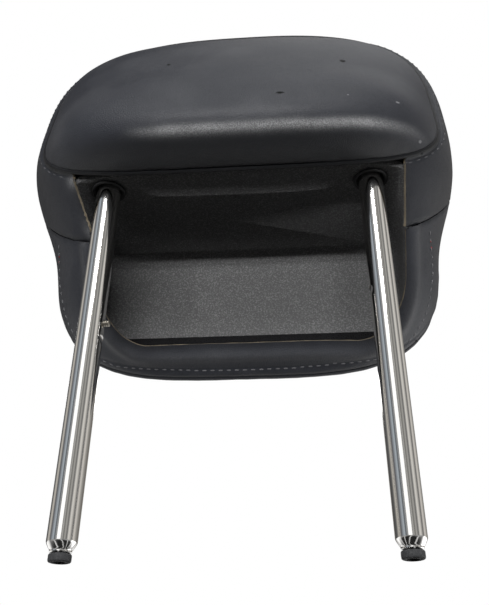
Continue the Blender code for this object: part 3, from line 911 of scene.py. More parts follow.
@dataclass
class Border:
    """An edge of a panel: distance from it, how it rolls in, and whether it trims the sheet."""

    distance: Points
    roll: Union[float, Points] = 0.002
    turn: float = 1.0
    trims: bool = False
    into_tray: bool = False
    lean: float = 1.0

    def outside(self) -> Points:
        """Distance from the border where its cut edge shows raw hide, or a long way."""
        return np.abs(self.distance) if self.into_tray else np.ones_like(self.distance)


def ripple(points: Points, scale: float, seed: float) -> Points:
    """Smooth noise between about -1 and 1 at points of a surface."""
    shift = Vector((seed, 2.0 * seed, -seed))
    return np.array([noise.noise(Vector(point) * scale + shift) for point in points])


@dataclass
class LeatherPanel:
    """One sewn panel of the cover, modelled from a fine grid."""

    name: str
    node: str
    columns: int
    rows: int
    sim: PaddingSim
    finish: Material
    raw: Material
    thickness: float = 0.0017
    raw_reach: float = 0.0005
    pucker_scale: float = 160.0
    pucker_reach: float = 0.007
    pucker_height: float = 0.00035
    swell_scale: float = 28.0
    swell_height: float = 0.0005
    fill: float = 0.85
    piece: Optional[Piece] = None

    def surface(self, s: Points, t: Points) -> Points:
        """The panel's smooth form, for grid coordinates from -1 to 1."""
        raise NotImplementedError

    def borders(self, points: Points, s: Points, t: Points) -> list[Border]:
        """The panel's edges."""
        raise NotImplementedError

    def relief(self, points: Points, borders: list[Border]) -> Points:
        """Extra height of the surface, such as creases and puckers."""
        nearest = np.min([np.abs(border.distance) for border in borders], axis=0)
        near = np.exp(-nearest / self.pucker_reach)
        pucker = ripple(points, self.pucker_scale, 3.0) * near * self.pucker_height
        swell = ripple(points, self.swell_scale, 9.0) * self.swell_height
        return pucker + swell * smooth_step(0.004, 0.03, nearest)

    def wear_and_highlight(self, points: Points) -> Points:
        """How far the leather is paled towards its worn colour, from 0 to 1: rubbing, and painted highlights.
        """
        return np.zeros(len(points))

    def build(self) -> Piece:
        """Model, trim, thicken and dress the panel.

        Returns:
            The finished piece.
        """
        piece = start_piece(self.name, bpy.ops.mesh.primitive_grid_add, x_subdivisions=self.columns,
                            y_subdivisions=self.rows, size=2.0)
        with editing(piece):
            bpy.ops.mesh.quads_convert_to_tris(quad_method="FIXED")
        flat = read_points(piece)
        s, t = flat[:, 0], flat[:, 1]
        points = self.surface(s, t)
        borders = self.borders(points, s, t)
        points = self._snap(piece, points, borders)
        write_points(piece, points)
        self._face_outwards(piece)
        normals = read_normals(piece)
        shaped = points + self.sim.move_at(points) + normals * self.relief(points, borders)[:, None]
        for border in borders:
            radius = np.broadcast_to(border.roll, border.distance.shape)
            inside = np.clip(radius - border.distance, 0.0, radius)
            bend = radius / border.turn
            depth = bend - np.sqrt(np.maximum(bend * bend - inside * inside, 0.0))
            way = np.array([0.0, border.lean, 0.0]) if border.into_tray else -normals
            shaped += way * depth[:, None]
        write_points(piece, shaped)
        store_values(piece, "edge", np.min([np.abs(border.distance) for border in borders], axis=0))
        store_values(piece, "raw", np.min([border.outside() for border in borders], axis=0))
        store_values(piece, "wear_and_highlight", self.wear_and_highlight(points))
        self._trim(piece, borders)
        self._thicken(piece)
        self.piece = piece
        return piece

    @staticmethod
    def _snap(piece: Piece, points: Points, borders: list[Border]) -> Points:
        """Move the vertices nearest each trimmed border onto it."""
        mesh = piece.data
        pairs = np.empty(len(mesh.edges) * 2, dtype=np.int32)
        mesh.edges.foreach_get("vertices", pairs)
        pairs = pairs.reshape(-1, 2)
        for border in borders:
            if not border.trims:
                continue
            first, second = border.distance[pairs[:, 0]], border.distance[pairs[:, 1]]
            crossing = np.nonzero(first * second < 0)[0]
            share = first[crossing] / (first[crossing] - second[crossing])
            ends = pairs[crossing]
            near = np.where(share < 0.5, ends[:, 0], ends[:, 1])
            far = np.where(share < 0.5, ends[:, 1], ends[:, 0])
            step = np.where(share < 0.5, share, 1.0 - share)
            order = np.argsort(-step)
            near, far, step = near[order], far[order], step[order]
            old = points.copy()
            points[near] = old[near] + (old[far] - old[near]) * step[:, None]
            for other in borders:
                values = other.distance.copy()
                other.distance[near] = values[near] + (values[far] - values[near]) * step
            border.distance[near] = 0.0
        return points

    @staticmethod
    def _face_outwards(piece: Piece) -> None:
        """Turn the faces so that they point away from the cushion's middle."""
        outward = np.einsum("ij,ij->i", read_normals(piece), read_points(piece) - CUSHION_MIDDLE)
        if outward.sum() < 0:
            with editing(piece):
                bpy.ops.mesh.flip_normals()

    @staticmethod
    def _trim(piece: Piece, borders: list[Border]) -> None:
        """Delete what lies beyond the trimmed borders."""
        corners = np.empty(len(piece.data.polygons) * 3, dtype=np.int32)
        piece.data.polygons.foreach_get("vertices", corners)
        corners = corners.reshape(-1, 3)
        beyond = np.zeros(len(corners), dtype=bool)
        for border in borders:
            if border.trims:
                values = border.distance[corners]
                beyond |= (values.min(axis=1) < -1e-9) | (values.max(axis=1) <= 1e-9)
        if beyond.any():
            with editing(piece, "FACE", beyond):
                bpy.ops.mesh.delete(type="FACE")
        with editing(piece):
            bpy.ops.mesh.delete_loose()

    def _thicken(self, piece: Piece) -> None:
        """Give the sheet its thickness, with the raw hide on its cut edges."""
        dress(piece, self.finish, self.raw)
        apply_modifier(piece, piece.modifiers.new("hide", "SOLIDIFY"), thickness=self.thickness, offset=-1.0,
                       material_offset_rim=1)
        raw = np.empty(len(piece.data.vertices), dtype=np.float32)
        piece.data.attributes["raw"].data.foreach_get("value", raw)
        for face in piece.data.polygons:
            if face.material_index == 1 and raw[list(face.vertices)].mean() > self.raw_reach:
                face.material_index = 0
        smooth_by_angle(piece, 60)


@dataclass
class CrownedPanel(LeatherPanel):
    """A crowned panel on an evenly spread square, sewn all round."""

    form: Callable[[Points, Points], Points] = SHAPE.rear_point
    seam_roll: float = 0.0022

    def surface(self, s: Points, t: Points) -> Points:
        """The crowned form."""
        return self.form(spread(s), spread(t))

    def borders(self, points: Points, s: Points, t: Points) -> list[Border]:
        """The sewn ring round the panel."""
        _, u, v = SHAPE.split(spread(s), spread(t))
        return [Border(np.linalg.norm(points - self.form(u, v), axis=1), self.seam_roll)]


@dataclass
class RearPanel(CrownedPanel):
    """The panel that faces the rear, with a pale line along its lower crease: rubbing, and a painted
    highlight.
    """

    crease_height: float = 0.0060
    crease_flat: float = 0.045
    crease_slope: float = 0.09
    rub_and_highlight_width: float = 0.0021
    rub_and_highlight_middle: float = 0.024
    rub_and_highlight_near: float = 0.050
    rub_and_highlight_far: float = 0.090

    def wear_and_highlight(self, points: Points) -> Points:
        """The pale line along the panel's lower crease: rubbing, and a painted highlight where the crease
        turns towards the light.
        """
        beyond = np.maximum(np.abs(points[:, 0]) - self.crease_flat, 0.0)
        rise = points[:, 2] - TRAY_Z - self.crease_height - self.crease_slope * beyond
        patchy = 0.75 + 0.25 * ripple(points, 70.0, 1.0)
        ends = 1.0 - smooth_step(self.rub_and_highlight_near, self.rub_and_highlight_far, np.abs(points[:, 0] - self.rub_and_highlight_middle))
        return bell(rise, self.rub_and_highlight_width) * ends * patchy


@dataclass
class BandPanel(LeatherPanel):
    """A panel of the band round the cushion, between two shares of the way round it."""

    start: float = 0.0
    end: float = 0.5
    stitch_row: float = 0.005
    stitch_pull: float = 0.0005
    pull_width: float = 0.0011
    front_roll: float = 0.003

    def place(self, s: Points, w: Points) -> Points:
        """Points of the band at grid coordinates along it and places across it."""
        u, v = PATH.direction(self.start + (self.end - self.start) * (s + 1) / 2)
        return SHAPE.band_point(u, v, w)

    def surface(self, s: Points, t: Points) -> Points:
        """The band's form."""
        return self.place(s, spread(t))

    def seam_gap(self, points: Points, s: Points, w: float) -> Points:
        """Distance across the band from one of its seams."""
        return np.linalg.norm(points - self.place(s, np.full_like(s, w)), axis=1)

    def relief(self, points: Points, borders: list[Border]) -> Points:
        """Puckers, and the line that the topstitching pulls in along the first border."""
        valley = bell(borders[0].distance - self.stitch_row, self.pull_width) * -self.stitch_pull
        return super().relief(points, borders) + valley


@dataclass
class CheekPanel(BandPanel):
    """A side of the band, from the tray up to the top's middle."""

    rear_roll: float = 0.0016
    middle_roll: float = 0.0015
    lip_roll: float = 0.0012
    tray_roll: float = 0.0030
    tray_turn: float = 0.45
    fold_reach: float = 0.0045
    fold_pitch: float = 0.0024
    fold_height: float = 0.0006
    right_share: float = 0.3

    def borders(self, points: Points, s: Points, t: Points) -> list[Border]:
        """Rear and front seams, the top's middle seam, the lip seam and the tray's edge."""
        rear = Border(self.seam_gap(points, s, -1.0), self.rear_roll)
        front = Border(self.seam_gap(points, s, 1.0), self.front_roll)
        from_middle = np.where(points[:, 2] > TRAY_Z + 0.05, np.abs(points[:, 0]), 1.0)
        middle = Border(from_middle, self.middle_roll)
        lip = Border(SHAPE.cheek_distance(points) - SEAM_GAP, self.lip_roll, trims=True)
        tray = Border(SHAPE.opening_distance(points), self.tray_roll, self.tray_turn, trims=True,
                      into_tray=True, lean=-1.0)
        return [rear, front, middle, lip, tray]

    def relief(self, points: Points, borders: list[Border]) -> Points:
        """Puckers, and the small folds beside the tray, deeper at the left."""
        drop = TRAY_Z - points[:, 2]
        pinched = smooth_step(0.004, 0.012, drop) * np.exp(-np.abs(borders[-1].distance) / self.fold_reach)
        waves = np.sin(drop / self.fold_pitch * math.tau + ripple(points, 90.0, 5.0) * 3.0)
        folds = waves * pinched * self.fold_height
        return super().relief(points, borders) + np.where(points[:, 0] < 0, folds, self.right_share * folds)

    def wear_and_highlight(self, points: Points) -> Points:
        """The rubbed fold at the top of the left raw edge, and the stretched corner below it."""
        drop = TRAY_Z - points[:, 2]
        edge = bell(SHAPE.opening_distance(points), 0.0035)
        spots = 0.45 * bell(drop - 0.001, 0.0030) + 0.22 * bell(drop - 0.024, 0.0050)
        return np.where(points[:, 0] < 0, edge * spots, 0.0)


@dataclass
class LipPanel(BandPanel):
    """The band below the tray and its two wings."""

    cheek_roll: float = 0.0007
    tray_roll: float = 0.0030
    tray_roll_low: float = 0.0015
    tray_turn: float = 0.30
    ridge_place: float = 0.0060
    ridge_width: float = 0.0026
    ridge_height: float = 0.0018
    # Strength and width of the painted highlight along the ridge.
    shine: float = 0.10
    shine_width: float = 0.0022

    def borders(self, points: Points, s: Points, t: Points) -> list[Border]:
        """The front seam, the cheek seam and the rolled edge at the tray."""
        front = Border(self.seam_gap(points, s, 1.0), self.front_roll)
        cheek = Border(-SHAPE.cheek_distance(points) - SEAM_GAP, self.cheek_roll, trims=True)
        low = 1.0 - smooth_step(-0.072, -0.045, points[:, 2] - TRAY_Z)
        roll = self.tray_roll + self.tray_roll_low * low
        tray = Border(SHAPE.opening_distance(points), roll, self.tray_turn, trims=True, into_tray=True)
        return [front, cheek, tray]

    def relief(self, points: Points, borders: list[Border]) -> Points:
        """Puckers, and the ridge beside the tray."""
        ridge = bell(borders[-1].distance - self.ridge_place, self.ridge_width) * self.ridge_height
        return super().relief(points, borders) + ridge

    def wear_and_highlight(self, points: Points) -> Points:
        """A painted highlight: a faint pale shine along the ridge beside the tray."""
        return self.shine * bell(SHAPE.opening_distance(points) - self.ridge_place, self.shine_width)


@dataclass
class StitchRow:
    """A row of stitches lying on a panel."""

    name: str
    line: Points
    panel: LeatherPanel
    finish: Material
    length: float = 0.0042
    pitch: float = 0.0056
    radius: float = 0.00042
    reach: float = 0.003
    lift: float = 0.2
    droop: float = 1.6

    def build(self) -> Piece:
        """Lay one modelled stitch again and again along the line.

        Returns:
            The row as one piece.
        """
        row = start_piece(self.name, bpy.ops.mesh.primitive_uv_sphere_add, segments=8, ring_count=6,
                          radius=1.0)
        size = (self.radius, self.radius, self.length / 2)
        with editing(row):
            bpy.ops.transform.resize(value=size, center_override=(0, 0, 0))
        stitch = read_points(row)
        ends = np.abs(stitch[:, 2]) / (self.length / 2)
        stitch[:, 0] -= self.radius * self.droop * ends ** 2
        faces = [tuple(face.vertices) for face in row.data.polygons]
        points: list[Points] = []
        polygons: list[tuple[int, ...]] = []
        for number, (place, along, up) in enumerate(self._places()):
            turn = np.stack([up, np.cross(along, up), along], axis=1)
            points.append(stitch @ turn.T + place + up * self.radius * self.lift)
            polygons += [tuple(corner + len(stitch) * number for corner in face) for face in faces]
        row.data.clear_geometry()
        row.data.from_pydata(np.concatenate(points).tolist(), [], polygons)
        dress(row, self.finish)
        with editing(row):
            bpy.ops.mesh.normals_make_consistent(inside=False)
        bpy.ops.object.shade_smooth()
        return row

    def _places(self) -> list[tuple[Points, Points, Points]]:
        """Place, direction and up of each stitch that finds the panel."""
        steps = np.linalg.norm(np.diff(self.line, axis=0), axis=1)
        lengths = np.concatenate([[0.0], np.cumsum(steps)])
        found = []
        for number in range(int(lengths[-1] / self.pitch)):
            spot = [np.interp((number + 0.5) * self.pitch + shift, lengths, self.line[:, k])
                    for shift in (-0.001, 0.0, 0.001) for k in range(3)]
            back, here, ahead = np.array(spot).reshape(3, 3)
            hit, place, normal, _ = self.panel.piece.closest_point_on_mesh(Vector(here))
            if not hit or (place - Vector(here)).length > self.reach:
                continue
            up = np.array(normal)
            along = ahead - back
            along = along - up * (along @ up)
            if np.linalg.norm(along) < 1e-9:
                continue
            found.append((np.array(place), along / np.linalg.norm(along), up))
        return found


def band_line(offset: float, seam: float, start: float, end: float, count: int = 500) -> Points:
    """A line on the band at a distance from one of its seams.

    Args:
        offset: Distance from the seam.
        seam: -1 for the rear seam and 1 for the front seam.
        start: Share of the way round at which it starts.
        end: Share of the way round at which it ends.
        count: Points on the line.

    Returns:
        The line's points.
    """
    u, v = PATH.direction(np.linspace(start, end, count))
    rear, front = (SHAPE.band_point(u, v, np.full_like(u, w)) for w in (-1.0, 1.0))
    across = np.linalg.norm(front - rear, axis=1)
    return SHAPE.band_point(u, v, seam * (1.0 - 2.0 * offset / across))


def cord_along(name: str, line: Points, radius: float, closed: bool) -> Piece:
    """A smooth round cord along a line of points.

    Args:
        name: The piece's name.
        line: The points of its middle line.
        radius: Half its thickness.
        closed: Whether it runs back to its start.

    Returns:
        The piece, as a mesh.
    """
    curve = bpy.data.curves.new(name, "CURVE")
    curve.dimensions = "3D"
    curve.bevel_depth = radius
    curve.bevel_resolution = 3
    curve.use_fill_caps = not closed
    spline = curve.splines.new("POLY")
    spline.use_cyclic_u = closed
    spline.points.add(len(line) - 1)
    spline.points.foreach_set("co", np.column_stack([line, np.ones(len(line))]).ravel())
    cord = bpy.data.objects.new(name, curve)
    bpy.context.scene.collection.objects.link(cord)
    make_active(cord)
    bpy.ops.object.convert(target="MESH")
    bpy.ops.object.shade_smooth()
    return bpy.context.object


def place_piece(piece: Piece, node: Optional[str], body: str) -> None:
    """Fix a piece to a body, hide the node that it replaces and log it.

    Args:
        piece: The finished piece.
        node: The node that it replaces, or None.
        body: The body that it rides on.
    """
    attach(piece, body)
    if node is not None:
        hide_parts(node)
    LOG.info("%s rides on %s, %d faces", piece.name, body, len(piece.data.polygons))


@dataclass
class BottomTray:
    """The grained tray in the underside, with a chamfered fold, and its two bushes."""

    half_width: float = 0.0975
    rear_y: float = -0.030
    wall_y: float = 0.0760
    low: float = -0.0600
    corner: float = 0.012
    chamfer: float = 0.009
    chamfer_drop: float = -0.0024
    chamfer_round: float = 0.0016
    rear_fold: float = 0.0020
    wall: float = 0.0024
    setback: float = 0.0030
    edge_round: float = 0.0006
    bush_hole: float = 0.0088

    def build(self) -> None:
        """Build the tray and the bushes."""
        tray = self._shell()
        carve(tray, PaddingSim(SHAPE).closed_form("tray_limit", self.setback), "INTERSECT")
        for side in Side:
            carve(tray, rod("bush_hole", self.bush_hole, (side.value * POST_X, 0.0, TRAY_Z), 0.02, "Z"))
        apply_modifier(tray, tray.modifiers.new("round", "BEVEL"), width=self.edge_round, segments=2,
                       limit_method="ANGLE", angle_limit=math.radians(50), use_clamp_overlap=True)
        dress(tray, PlasticFinish("grained_tray_plastic").build())
        smooth_by_angle(tray, 35)
        place_piece(tray, "bottom_tray", BODY)
        self._bushes()

    def _shell(self) -> Piece:
        """A rounded box without its rear and bottom, thickened outwards."""
        tray = start_piece("grained_tray", bpy.ops.mesh.primitive_cube_add, size=2.0)
        low = np.array([-self.half_width, self.rear_y, TRAY_Z + self.low])
        high = np.array([self.half_width, self.wall_y, TRAY_Z])
        write_points(tray, low + (read_points(tray) + 1.0) / 2 * (high - low))
        self._bevel(tray, self._at_front_corner, self.corner, 8)
        self._bevel(tray, self._at_top, self.chamfer, 1)
        points = read_points(tray)
        points[np.abs(points[:, 2] - TRAY_Z + self.chamfer) < CLOSE, 2] -= self.chamfer_drop
        at_rear = points[:, 1] < self.rear_y + CLOSE
        fold = at_rear & (points[:, 2] > TRAY_Z - CLOSE)
        points[fold, 0] = np.sign(points[fold, 0]) * (self.half_width - self.rear_fold)
        below = at_rear & (np.abs(points[:, 2] - TRAY_Z + self.chamfer + self.chamfer_drop) < CLOSE)
        points[below, 2] = TRAY_Z - self.rear_fold
        write_points(tray, points)
        self._bevel(tray, self._on_chamfer, self.chamfer_round, 3)
        open_sides = [face.normal.y < -0.99 or face.normal.z < -0.99 for face in tray.data.polygons]
        with editing(tray, "FACE", np.array(open_sides)):
            bpy.ops.mesh.delete(type="FACE")
        apply_modifier(tray, tray.modifiers.new("wall", "SOLIDIFY"), thickness=self.wall, offset=1.0,
                       use_even_offset=True)
        return tray

    def _at_front_corner(self, a: Vector, b: Vector) -> bool:
        """Whether an edge is an upright one at the front."""
        return abs(a.x - b.x) < TINY and min(a.y, b.y) > 0.06 and abs(a.z - b.z) > 0.05

    def _at_top(self, a: Vector, b: Vector) -> bool:
        """Whether an edge runs round the top, apart from the rear."""
        return min(a.z, b.z) > TRAY_Z - TINY and max(a.y, b.y) > self.rear_y + TINY

    def _on_chamfer(self, a: Vector, b: Vector) -> bool:
        """Whether an edge is one of the chamfer's two long edges."""
        level = abs(a.z - b.z) < TINY
        top = min(a.z, b.z) > TRAY_Z - TINY and max(a.y, b.y) > self.rear_y + 0.001
        bottom = abs(a.z - (TRAY_Z - self.chamfer - self.chamfer_drop)) < CLOSE
        return level and (top or bottom)

    @staticmethod
    def _bevel(piece: Piece, wanted: Callable[[Vector, Vector], bool], width: float, segments: int) -> None:
        """Bevel the edges whose two ends pass a test."""
        places = [vertex.co.copy() for vertex in piece.data.vertices]
        chosen = [wanted(*(places[end] for end in edge.vertices)) for edge in piece.data.edges]
        with editing(piece, "EDGE", np.array(chosen)):
            bpy.ops.mesh.bevel(offset=width, segments=segments, affect="EDGES")

    @staticmethod
    def _bushes() -> None:
        """The raised rims in which the posts run."""
        finish = PlasticFinish("bush_plastic", (0.030, 0.030, 0.031), (0.09, 0.09, 0.09), 0.45,
                               grain=0.25).build()
        profile = [(0.00745, 0.0024), (0.0086, 0.0024), (0.0086, -0.0004), (0.0094, -0.0004),
                   (0.00976, -0.0006), (0.0098, -0.0009), (0.0096, -0.0013), (0.0091, -0.0015),
                   (0.0086, -0.0015), (0.0082, -0.0013), (0.0080, -0.0009), (0.0077, 0.0001),
                   (0.00745, 0.0006), (0.00745, 0.0024)]
        for side in Side:
            bush = turned_piece(f"{side.word}_post_bush", profile, (side.value * POST_X, 0.0, TRAY_Z))
            dress(bush, finish)
            place_piece(bush, f"{side.word}_bush", BODY)


@dataclass
class Cushion:
    """The padded cushion: foam, cover panels, piping and stitching."""

    leather: LeatherFinish = LeatherFinish("charcoal_leather")
    piping_radius: float = 0.0016
    piping_inset: float = 0.0007
    cheek_rows: float = 0.0038
    lip_rows: float = 0.0062
    lip_reach: float = 0.34
    cheek_start: float = 0.06
    cheek_end: float = 0.5
    cheek_rows_end: float = 0.497
    cheek_pull: float = 0.0010
    front_row: float = 0.968
    foam_inset: float = 0.0034
    foam_gap: float = 0.0004

    def build(self) -> None:
        """Build and place every piece of the cushion."""
        cover = self.leather.build()
        # A darker copy of the leather for the cheeks: painted shade, as the cheeks face down and away from
        # the light.
        shaded_side_cover = replace(self.leather, name="shaded_cheek_leather", color=(0.0155, 0.0168, 0.0215),
                             dust=(0.045, 0.047, 0.052)).build()
        raw = RawEdgeFinish().build()
        sim = PaddingSim(SHAPE)
        foam = self._foam(sim)
        rear = RearPanel("rear_panel", "rear_cover", 150, 130, sim, cover, raw)
        front = CrownedPanel("front_panel", "front_cover", 130, 130, sim, cover, raw, form=SHAPE.front_point,
                             seam_roll=0.003)
        lip = LipPanel("lip_panel", "lip_cover", 380, 84, sim, cover, raw, start=-self.lip_reach,
                       end=self.lip_reach, stitch_row=self.lip_rows)
        cheeks = {side: CheekPanel(f"{side.word}_cheek_panel", f"{side.word}_cheek_cover", 280, 84, sim,
                                   shaded_side_cover, raw, start=side.value * self.cheek_start,
                                   end=side.value * self.cheek_end, stitch_row=self.cheek_rows,
                                   stitch_pull=self.cheek_pull)
                  for side in Side}
        for panel in (rear, front, lip, *cheeks.values()):
            piece = panel.build()
            place_piece(piece, panel.node, BODY)
        # The rear panel's material: its scars, a pale spot that paints a fold's highlight, and painted shade
        # on its lower face.
        scarred_and_shaded = replace(self.leather, name="rear_leather", marks=self._scars_and_highlight(rear.piece),
                          shade_height=TRAY_Z + 0.001)
        rear.piece.data.materials[0] = scarred_and_shaded.build()
        place_piece(foam, "foam_core", BODY)
        self._piping()
        self._stitching(lip, cheeks, front)

    @staticmethod
    def _scars_and_highlight(panel: Piece) -> tuple[Mark, ...]:
        """Nicks, a dot, a pale scratch and a pale spot that paints a fold's highlight, set on the rear
        panel's surface.
        """
        black = (0.004, 0.004, 0.004)
        pale = (0.17, 0.17, 0.18)
        wanted = (Mark((0.0637, -0.0354, 0.0618), 0.0022, black),
                  Mark((0.0268, -0.0437, 0.0272), 0.0013, black, 0.8, 2.4),
                  Mark((-0.0393, -0.0350, 0.0655), 0.0014, black),
                  Mark((0.0911, -0.0356, 0.0232), 0.0008, pale, 0.2, 6.0),
                  Mark((0.0636, -0.0425, 0.0240), 0.0005, pale, 0.2, 1.5),
                  # Not a scar: a raised pale spot that paints the highlight of a fold near the lower right
                  # corner.
                  Mark((0.1041, -0.0188, 0.0093), 0.0011, pale, -0.4, 1.8))
        marks = []
        for mark in wanted:
            x, y, z = mark.place
            _, place, _, _ = panel.closest_point_on_mesh(Vector((x, y, z + TRAY_Z)))
            marks.append(replace(mark, place=tuple(place)))
        return tuple(marks)

    def _foam(self, sim: PaddingSim) -> Piece:
        """The swollen foam body, set in from the cover and hollowed for the tray and carrier."""
        foam = sim.run()
        write_points(foam, read_points(foam) - read_normals(foam) * self.foam_inset)
        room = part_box("carrier_rear")[0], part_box("carrier_front")[1]
        tray_low, tray_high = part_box("bottom_tray")
        post_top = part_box("left_post")[1].z
        shell = BottomTray()
        wide = shell.half_width + shell.wall
        rearmost = -0.06
        bar_x, bar_y = 0.089, 0.0105
        boxes = [((room[0].x, room[0].y, TRAY_Z), (room[1].x, room[1].y, room[1].z)),
                 ((-bar_x, -bar_y, room[1].z - 0.001), (bar_x, bar_y, post_top)),
                 ((tray_low.x, rearmost, TRAY_Z - 0.12), (tray_high.x, tray_high.y, tray_high.z)),
                 ((-wide, rearmost, TRAY_Z + shell.low),
                  (wide, shell.wall_y + shell.wall, TRAY_Z + shell.wall))]
        for low, high in boxes:
            block = start_piece("hole_shade", bpy.ops.mesh.primitive_cube_add, size=1.0)
            size = np.array(high) - np.array(low) + 2 * self.foam_gap
            write_points(block, np.array(low) - self.foam_gap + (read_points(block) + 0.5) * size)
            carve(foam, block)
        dress(foam, FoamFinish().build())
        smooth_by_angle(foam, 50)
        return foam

    def _piping(self) -> None:
        """The piping all round the rear seam."""
        u, v = square_direction(np.linspace(0.0, 2 * math.pi, 360, endpoint=False))
        line = SHAPE.band_point(u, v, np.full_like(u, -1.0))
        middle = np.array([0.0, 0.03, TRAY_Z + SHAPE.rear_widest])
        outward = line - middle
        line = line - outward * (self.piping_inset / np.linalg.norm(outward, axis=1, keepdims=True))
        piping = cord_along("rear_piping_cord", line, self.piping_radius, True)
        store_values(piping, "edge", np.full(len(piping.data.vertices), 0.01))
        dress(piping, LeatherFinish("piping_leather", (0.0070, 0.0073, 0.0085), (0.020, 0.020, 0.022),
                                    gloss=0.3).build())
        place_piece(piping, "rear_piping", BODY)

    def _stitching(self, lip: LeatherPanel, cheeks: dict[Side, LeatherPanel], front: LeatherPanel) -> None:
        """Topstitching of the cheeks and lip, and red thread round the front panel."""
        thread = ThreadFinish("charcoal_thread").build()
        pale = ThreadFinish("grey_thread", (0.080, 0.080, 0.084), (0.25, 0.25, 0.26)).build()
        red = ThreadFinish("red_thread", (0.20, 0.010, 0.012), (0.38, 0.03, 0.03)).build()
        rows = []
        for side, cheek in cheeks.items():
            line = band_line(self.cheek_rows, -1.0, side.value * self.cheek_start,
                             side.value * self.cheek_rows_end)
            rows.append(StitchRow(f"{side.word}_cheek_stitching", line, cheek, thread, lift=-0.12))
        rows.append(StitchRow("lip_stitching", self._lip_line(), lip, pale, 0.0036, 0.0049, reach=0.009))
        for side in Side:
            ends = np.array([(side.value * 0.1165, 0.0240, TRAY_Z - 0.0275),
                             (side.value * 0.1180, 0.0310, TRAY_Z - 0.0320)])
            rows.append(StitchRow(f"{side.word}_thread_end", ends, lip, red, 0.0026, 0.0038, reach=0.009))
        u, v = square_direction(np.linspace(0, 2 * math.pi, 900))
        ring = SHAPE.front_point(u * self.front_row, v * self.front_row)
        rows.append(StitchRow("front_stitching", ring, front, red, reach=0.006))
        for row in rows:
            place_piece(row.build(), None, BODY)

    @staticmethod
    def _lip_line() -> Points:
        """The line of the lip's topstitching, from one cheek seam under the lip to the other."""
        half = np.array([(0.0, 0.0616, -0.0890), (0.030, 0.0616, -0.0886), (0.064, 0.0616, -0.0866),
                         (0.0815, 0.0628, -0.0838), (0.100, 0.0610, -0.0735), (0.1098, 0.0530, -0.0600),
                         (0.1130, 0.0440, -0.0482), (0.1151, 0.0390, -0.0385), (0.1158, 0.0325, -0.0308),
                         (0.1155, 0.0253, -0.0251), (0.1145, 0.0200, -0.0205)])
        mirror = half[:0:-1] * np.array([-1.0, 1.0, 1.0])
        return np.concatenate([mirror, half]) + np.array([0.0, 0.0, TRAY_Z - 0.0020])


@dataclass
class Posts:
    """The chrome posts, their end plugs and the sprung stop button."""

    top: float = 0.2705
    notch_heights: dict[Side, float] = field(default_factory=lambda: {Side.LEFT: 0.1096, Side.RIGHT: 0.1339})
    notch_radius: float = 0.004
    notch_depth: float = 0.0013
    button_height: float = 0.120
    button_hole: float = 0.00205
    button_head: float = 0.0100

    def build(self) -> None:
        """Build every piece of the posts."""
        chrome = MetalFinish("chrome_plate").build()
        plug_finish = PlasticFinish("plug_plastic", (0.045, 0.046, 0.048), (0.09, 0.09, 0.092), 0.6,
                                    700.0).build()
        for side in Side:
            foot = (side.value * POST_X, 0, 0)
            post = turned_piece(f"{side.word}_chrome_post", self._post_profile(), foot, 96)
            notch_x = side.value * (POST_X - POST_RADIUS - self.notch_radius + self.notch_depth)
            carve(post, rod("notch", self.notch_radius, (notch_x, 0.0, self.notch_heights[side]), 0.04, "Y"))
            if side is Side.LEFT:
                place = (-POST_X + 0.008, 0, self.button_height)
                carve(post, rod("button_hole", self.button_hole, place, 0.016, "X"))
            dress(post, chrome)
            smooth_by_angle(post, 30)
            place_piece(post, f"{side.word}_post", BODY)
            plug = turned_piece(f"{side.word}_post_plug", self._plug_profile(), foot)
            dress(plug, plug_finish)
            place_piece(plug, f"{side.word}_end_plug", BODY)
        self._button()

    def _post_profile(self) -> Profile:
        """A tube with a drawn-in neck."""
        outside = [(POST_RADIUS, self.top), (POST_RADIUS, 0.0090), (0.00693, 0.0085), (0.0067, 0.0079),
                   (0.0058, 0.0063), (0.0054, 0.0057), (0.0051, 0.0053), (0.0050, 0.0050), (0.0050, 0.0045),
                   (0.0047, 0.0041)]
        inside = [(0.0030, 0.0041), (0.0030, 0.0052), (0.0050, 0.0095), (0.0050, self.top),
                  (POST_RADIUS, self.top)]
        return outside + inside

    @staticmethod
    def _plug_profile() -> Profile:
        """A stem, a rounded head and the recess below it."""
        return [(1e-5, 0.0115), (0.0024, 0.0115), (0.0027, 0.0110), (0.0027, 0.0037), (0.0046, 0.0037),
                (0.0050, 0.0035), (0.0052, 0.0031), (0.0052, 0.0010), (0.0051, 0.0005), (0.0048, 0.0002),
                (0.0043, 0.00005), (0.0031, 0.00005), (0.0028, 0.0003), (0.0027, 0.0007), (0.0026, 0.0015),
                (1e-5, 0.0015)]

    def _button(self) -> None:
        """The stop button with its turned grooves, pushed out by the spring."""
        head = self.button_head
        profile = [(1e-5, head), (0.0013, head), (0.00165, head - 0.0002), (0.0018, head - 0.0005)]
        for groove in (0.0009, 0.0021):
            profile += [(0.0018, head - groove), (0.0015, head - groove - 0.0002),
                        (0.0015, head - groove - 0.0005), (0.0018, head - groove - 0.0007)]
        profile += [(0.0018, 0.0039), (0.0026, 0.0039), (0.0026, 0.0030), (1e-5, 0.0030)]
        button = turned_piece("grooved_stop_button", profile, (0, 0, 0), 40)
        turn = Matrix.Rotation(math.pi / 2, 4, "Y")
        button.data.transform(Matrix.Translation((-POST_X, 0.0, self.button_height)) @ turn)
        dress(button, MetalFinish("button_steel", (0.32, 0.30, 0.26), (0.13, 0.12, 0.10), 0.38,
                                  (60.0, 900.0, 900.0)).build())
        place_piece(button, "stop_button", BUTTON_BODY)


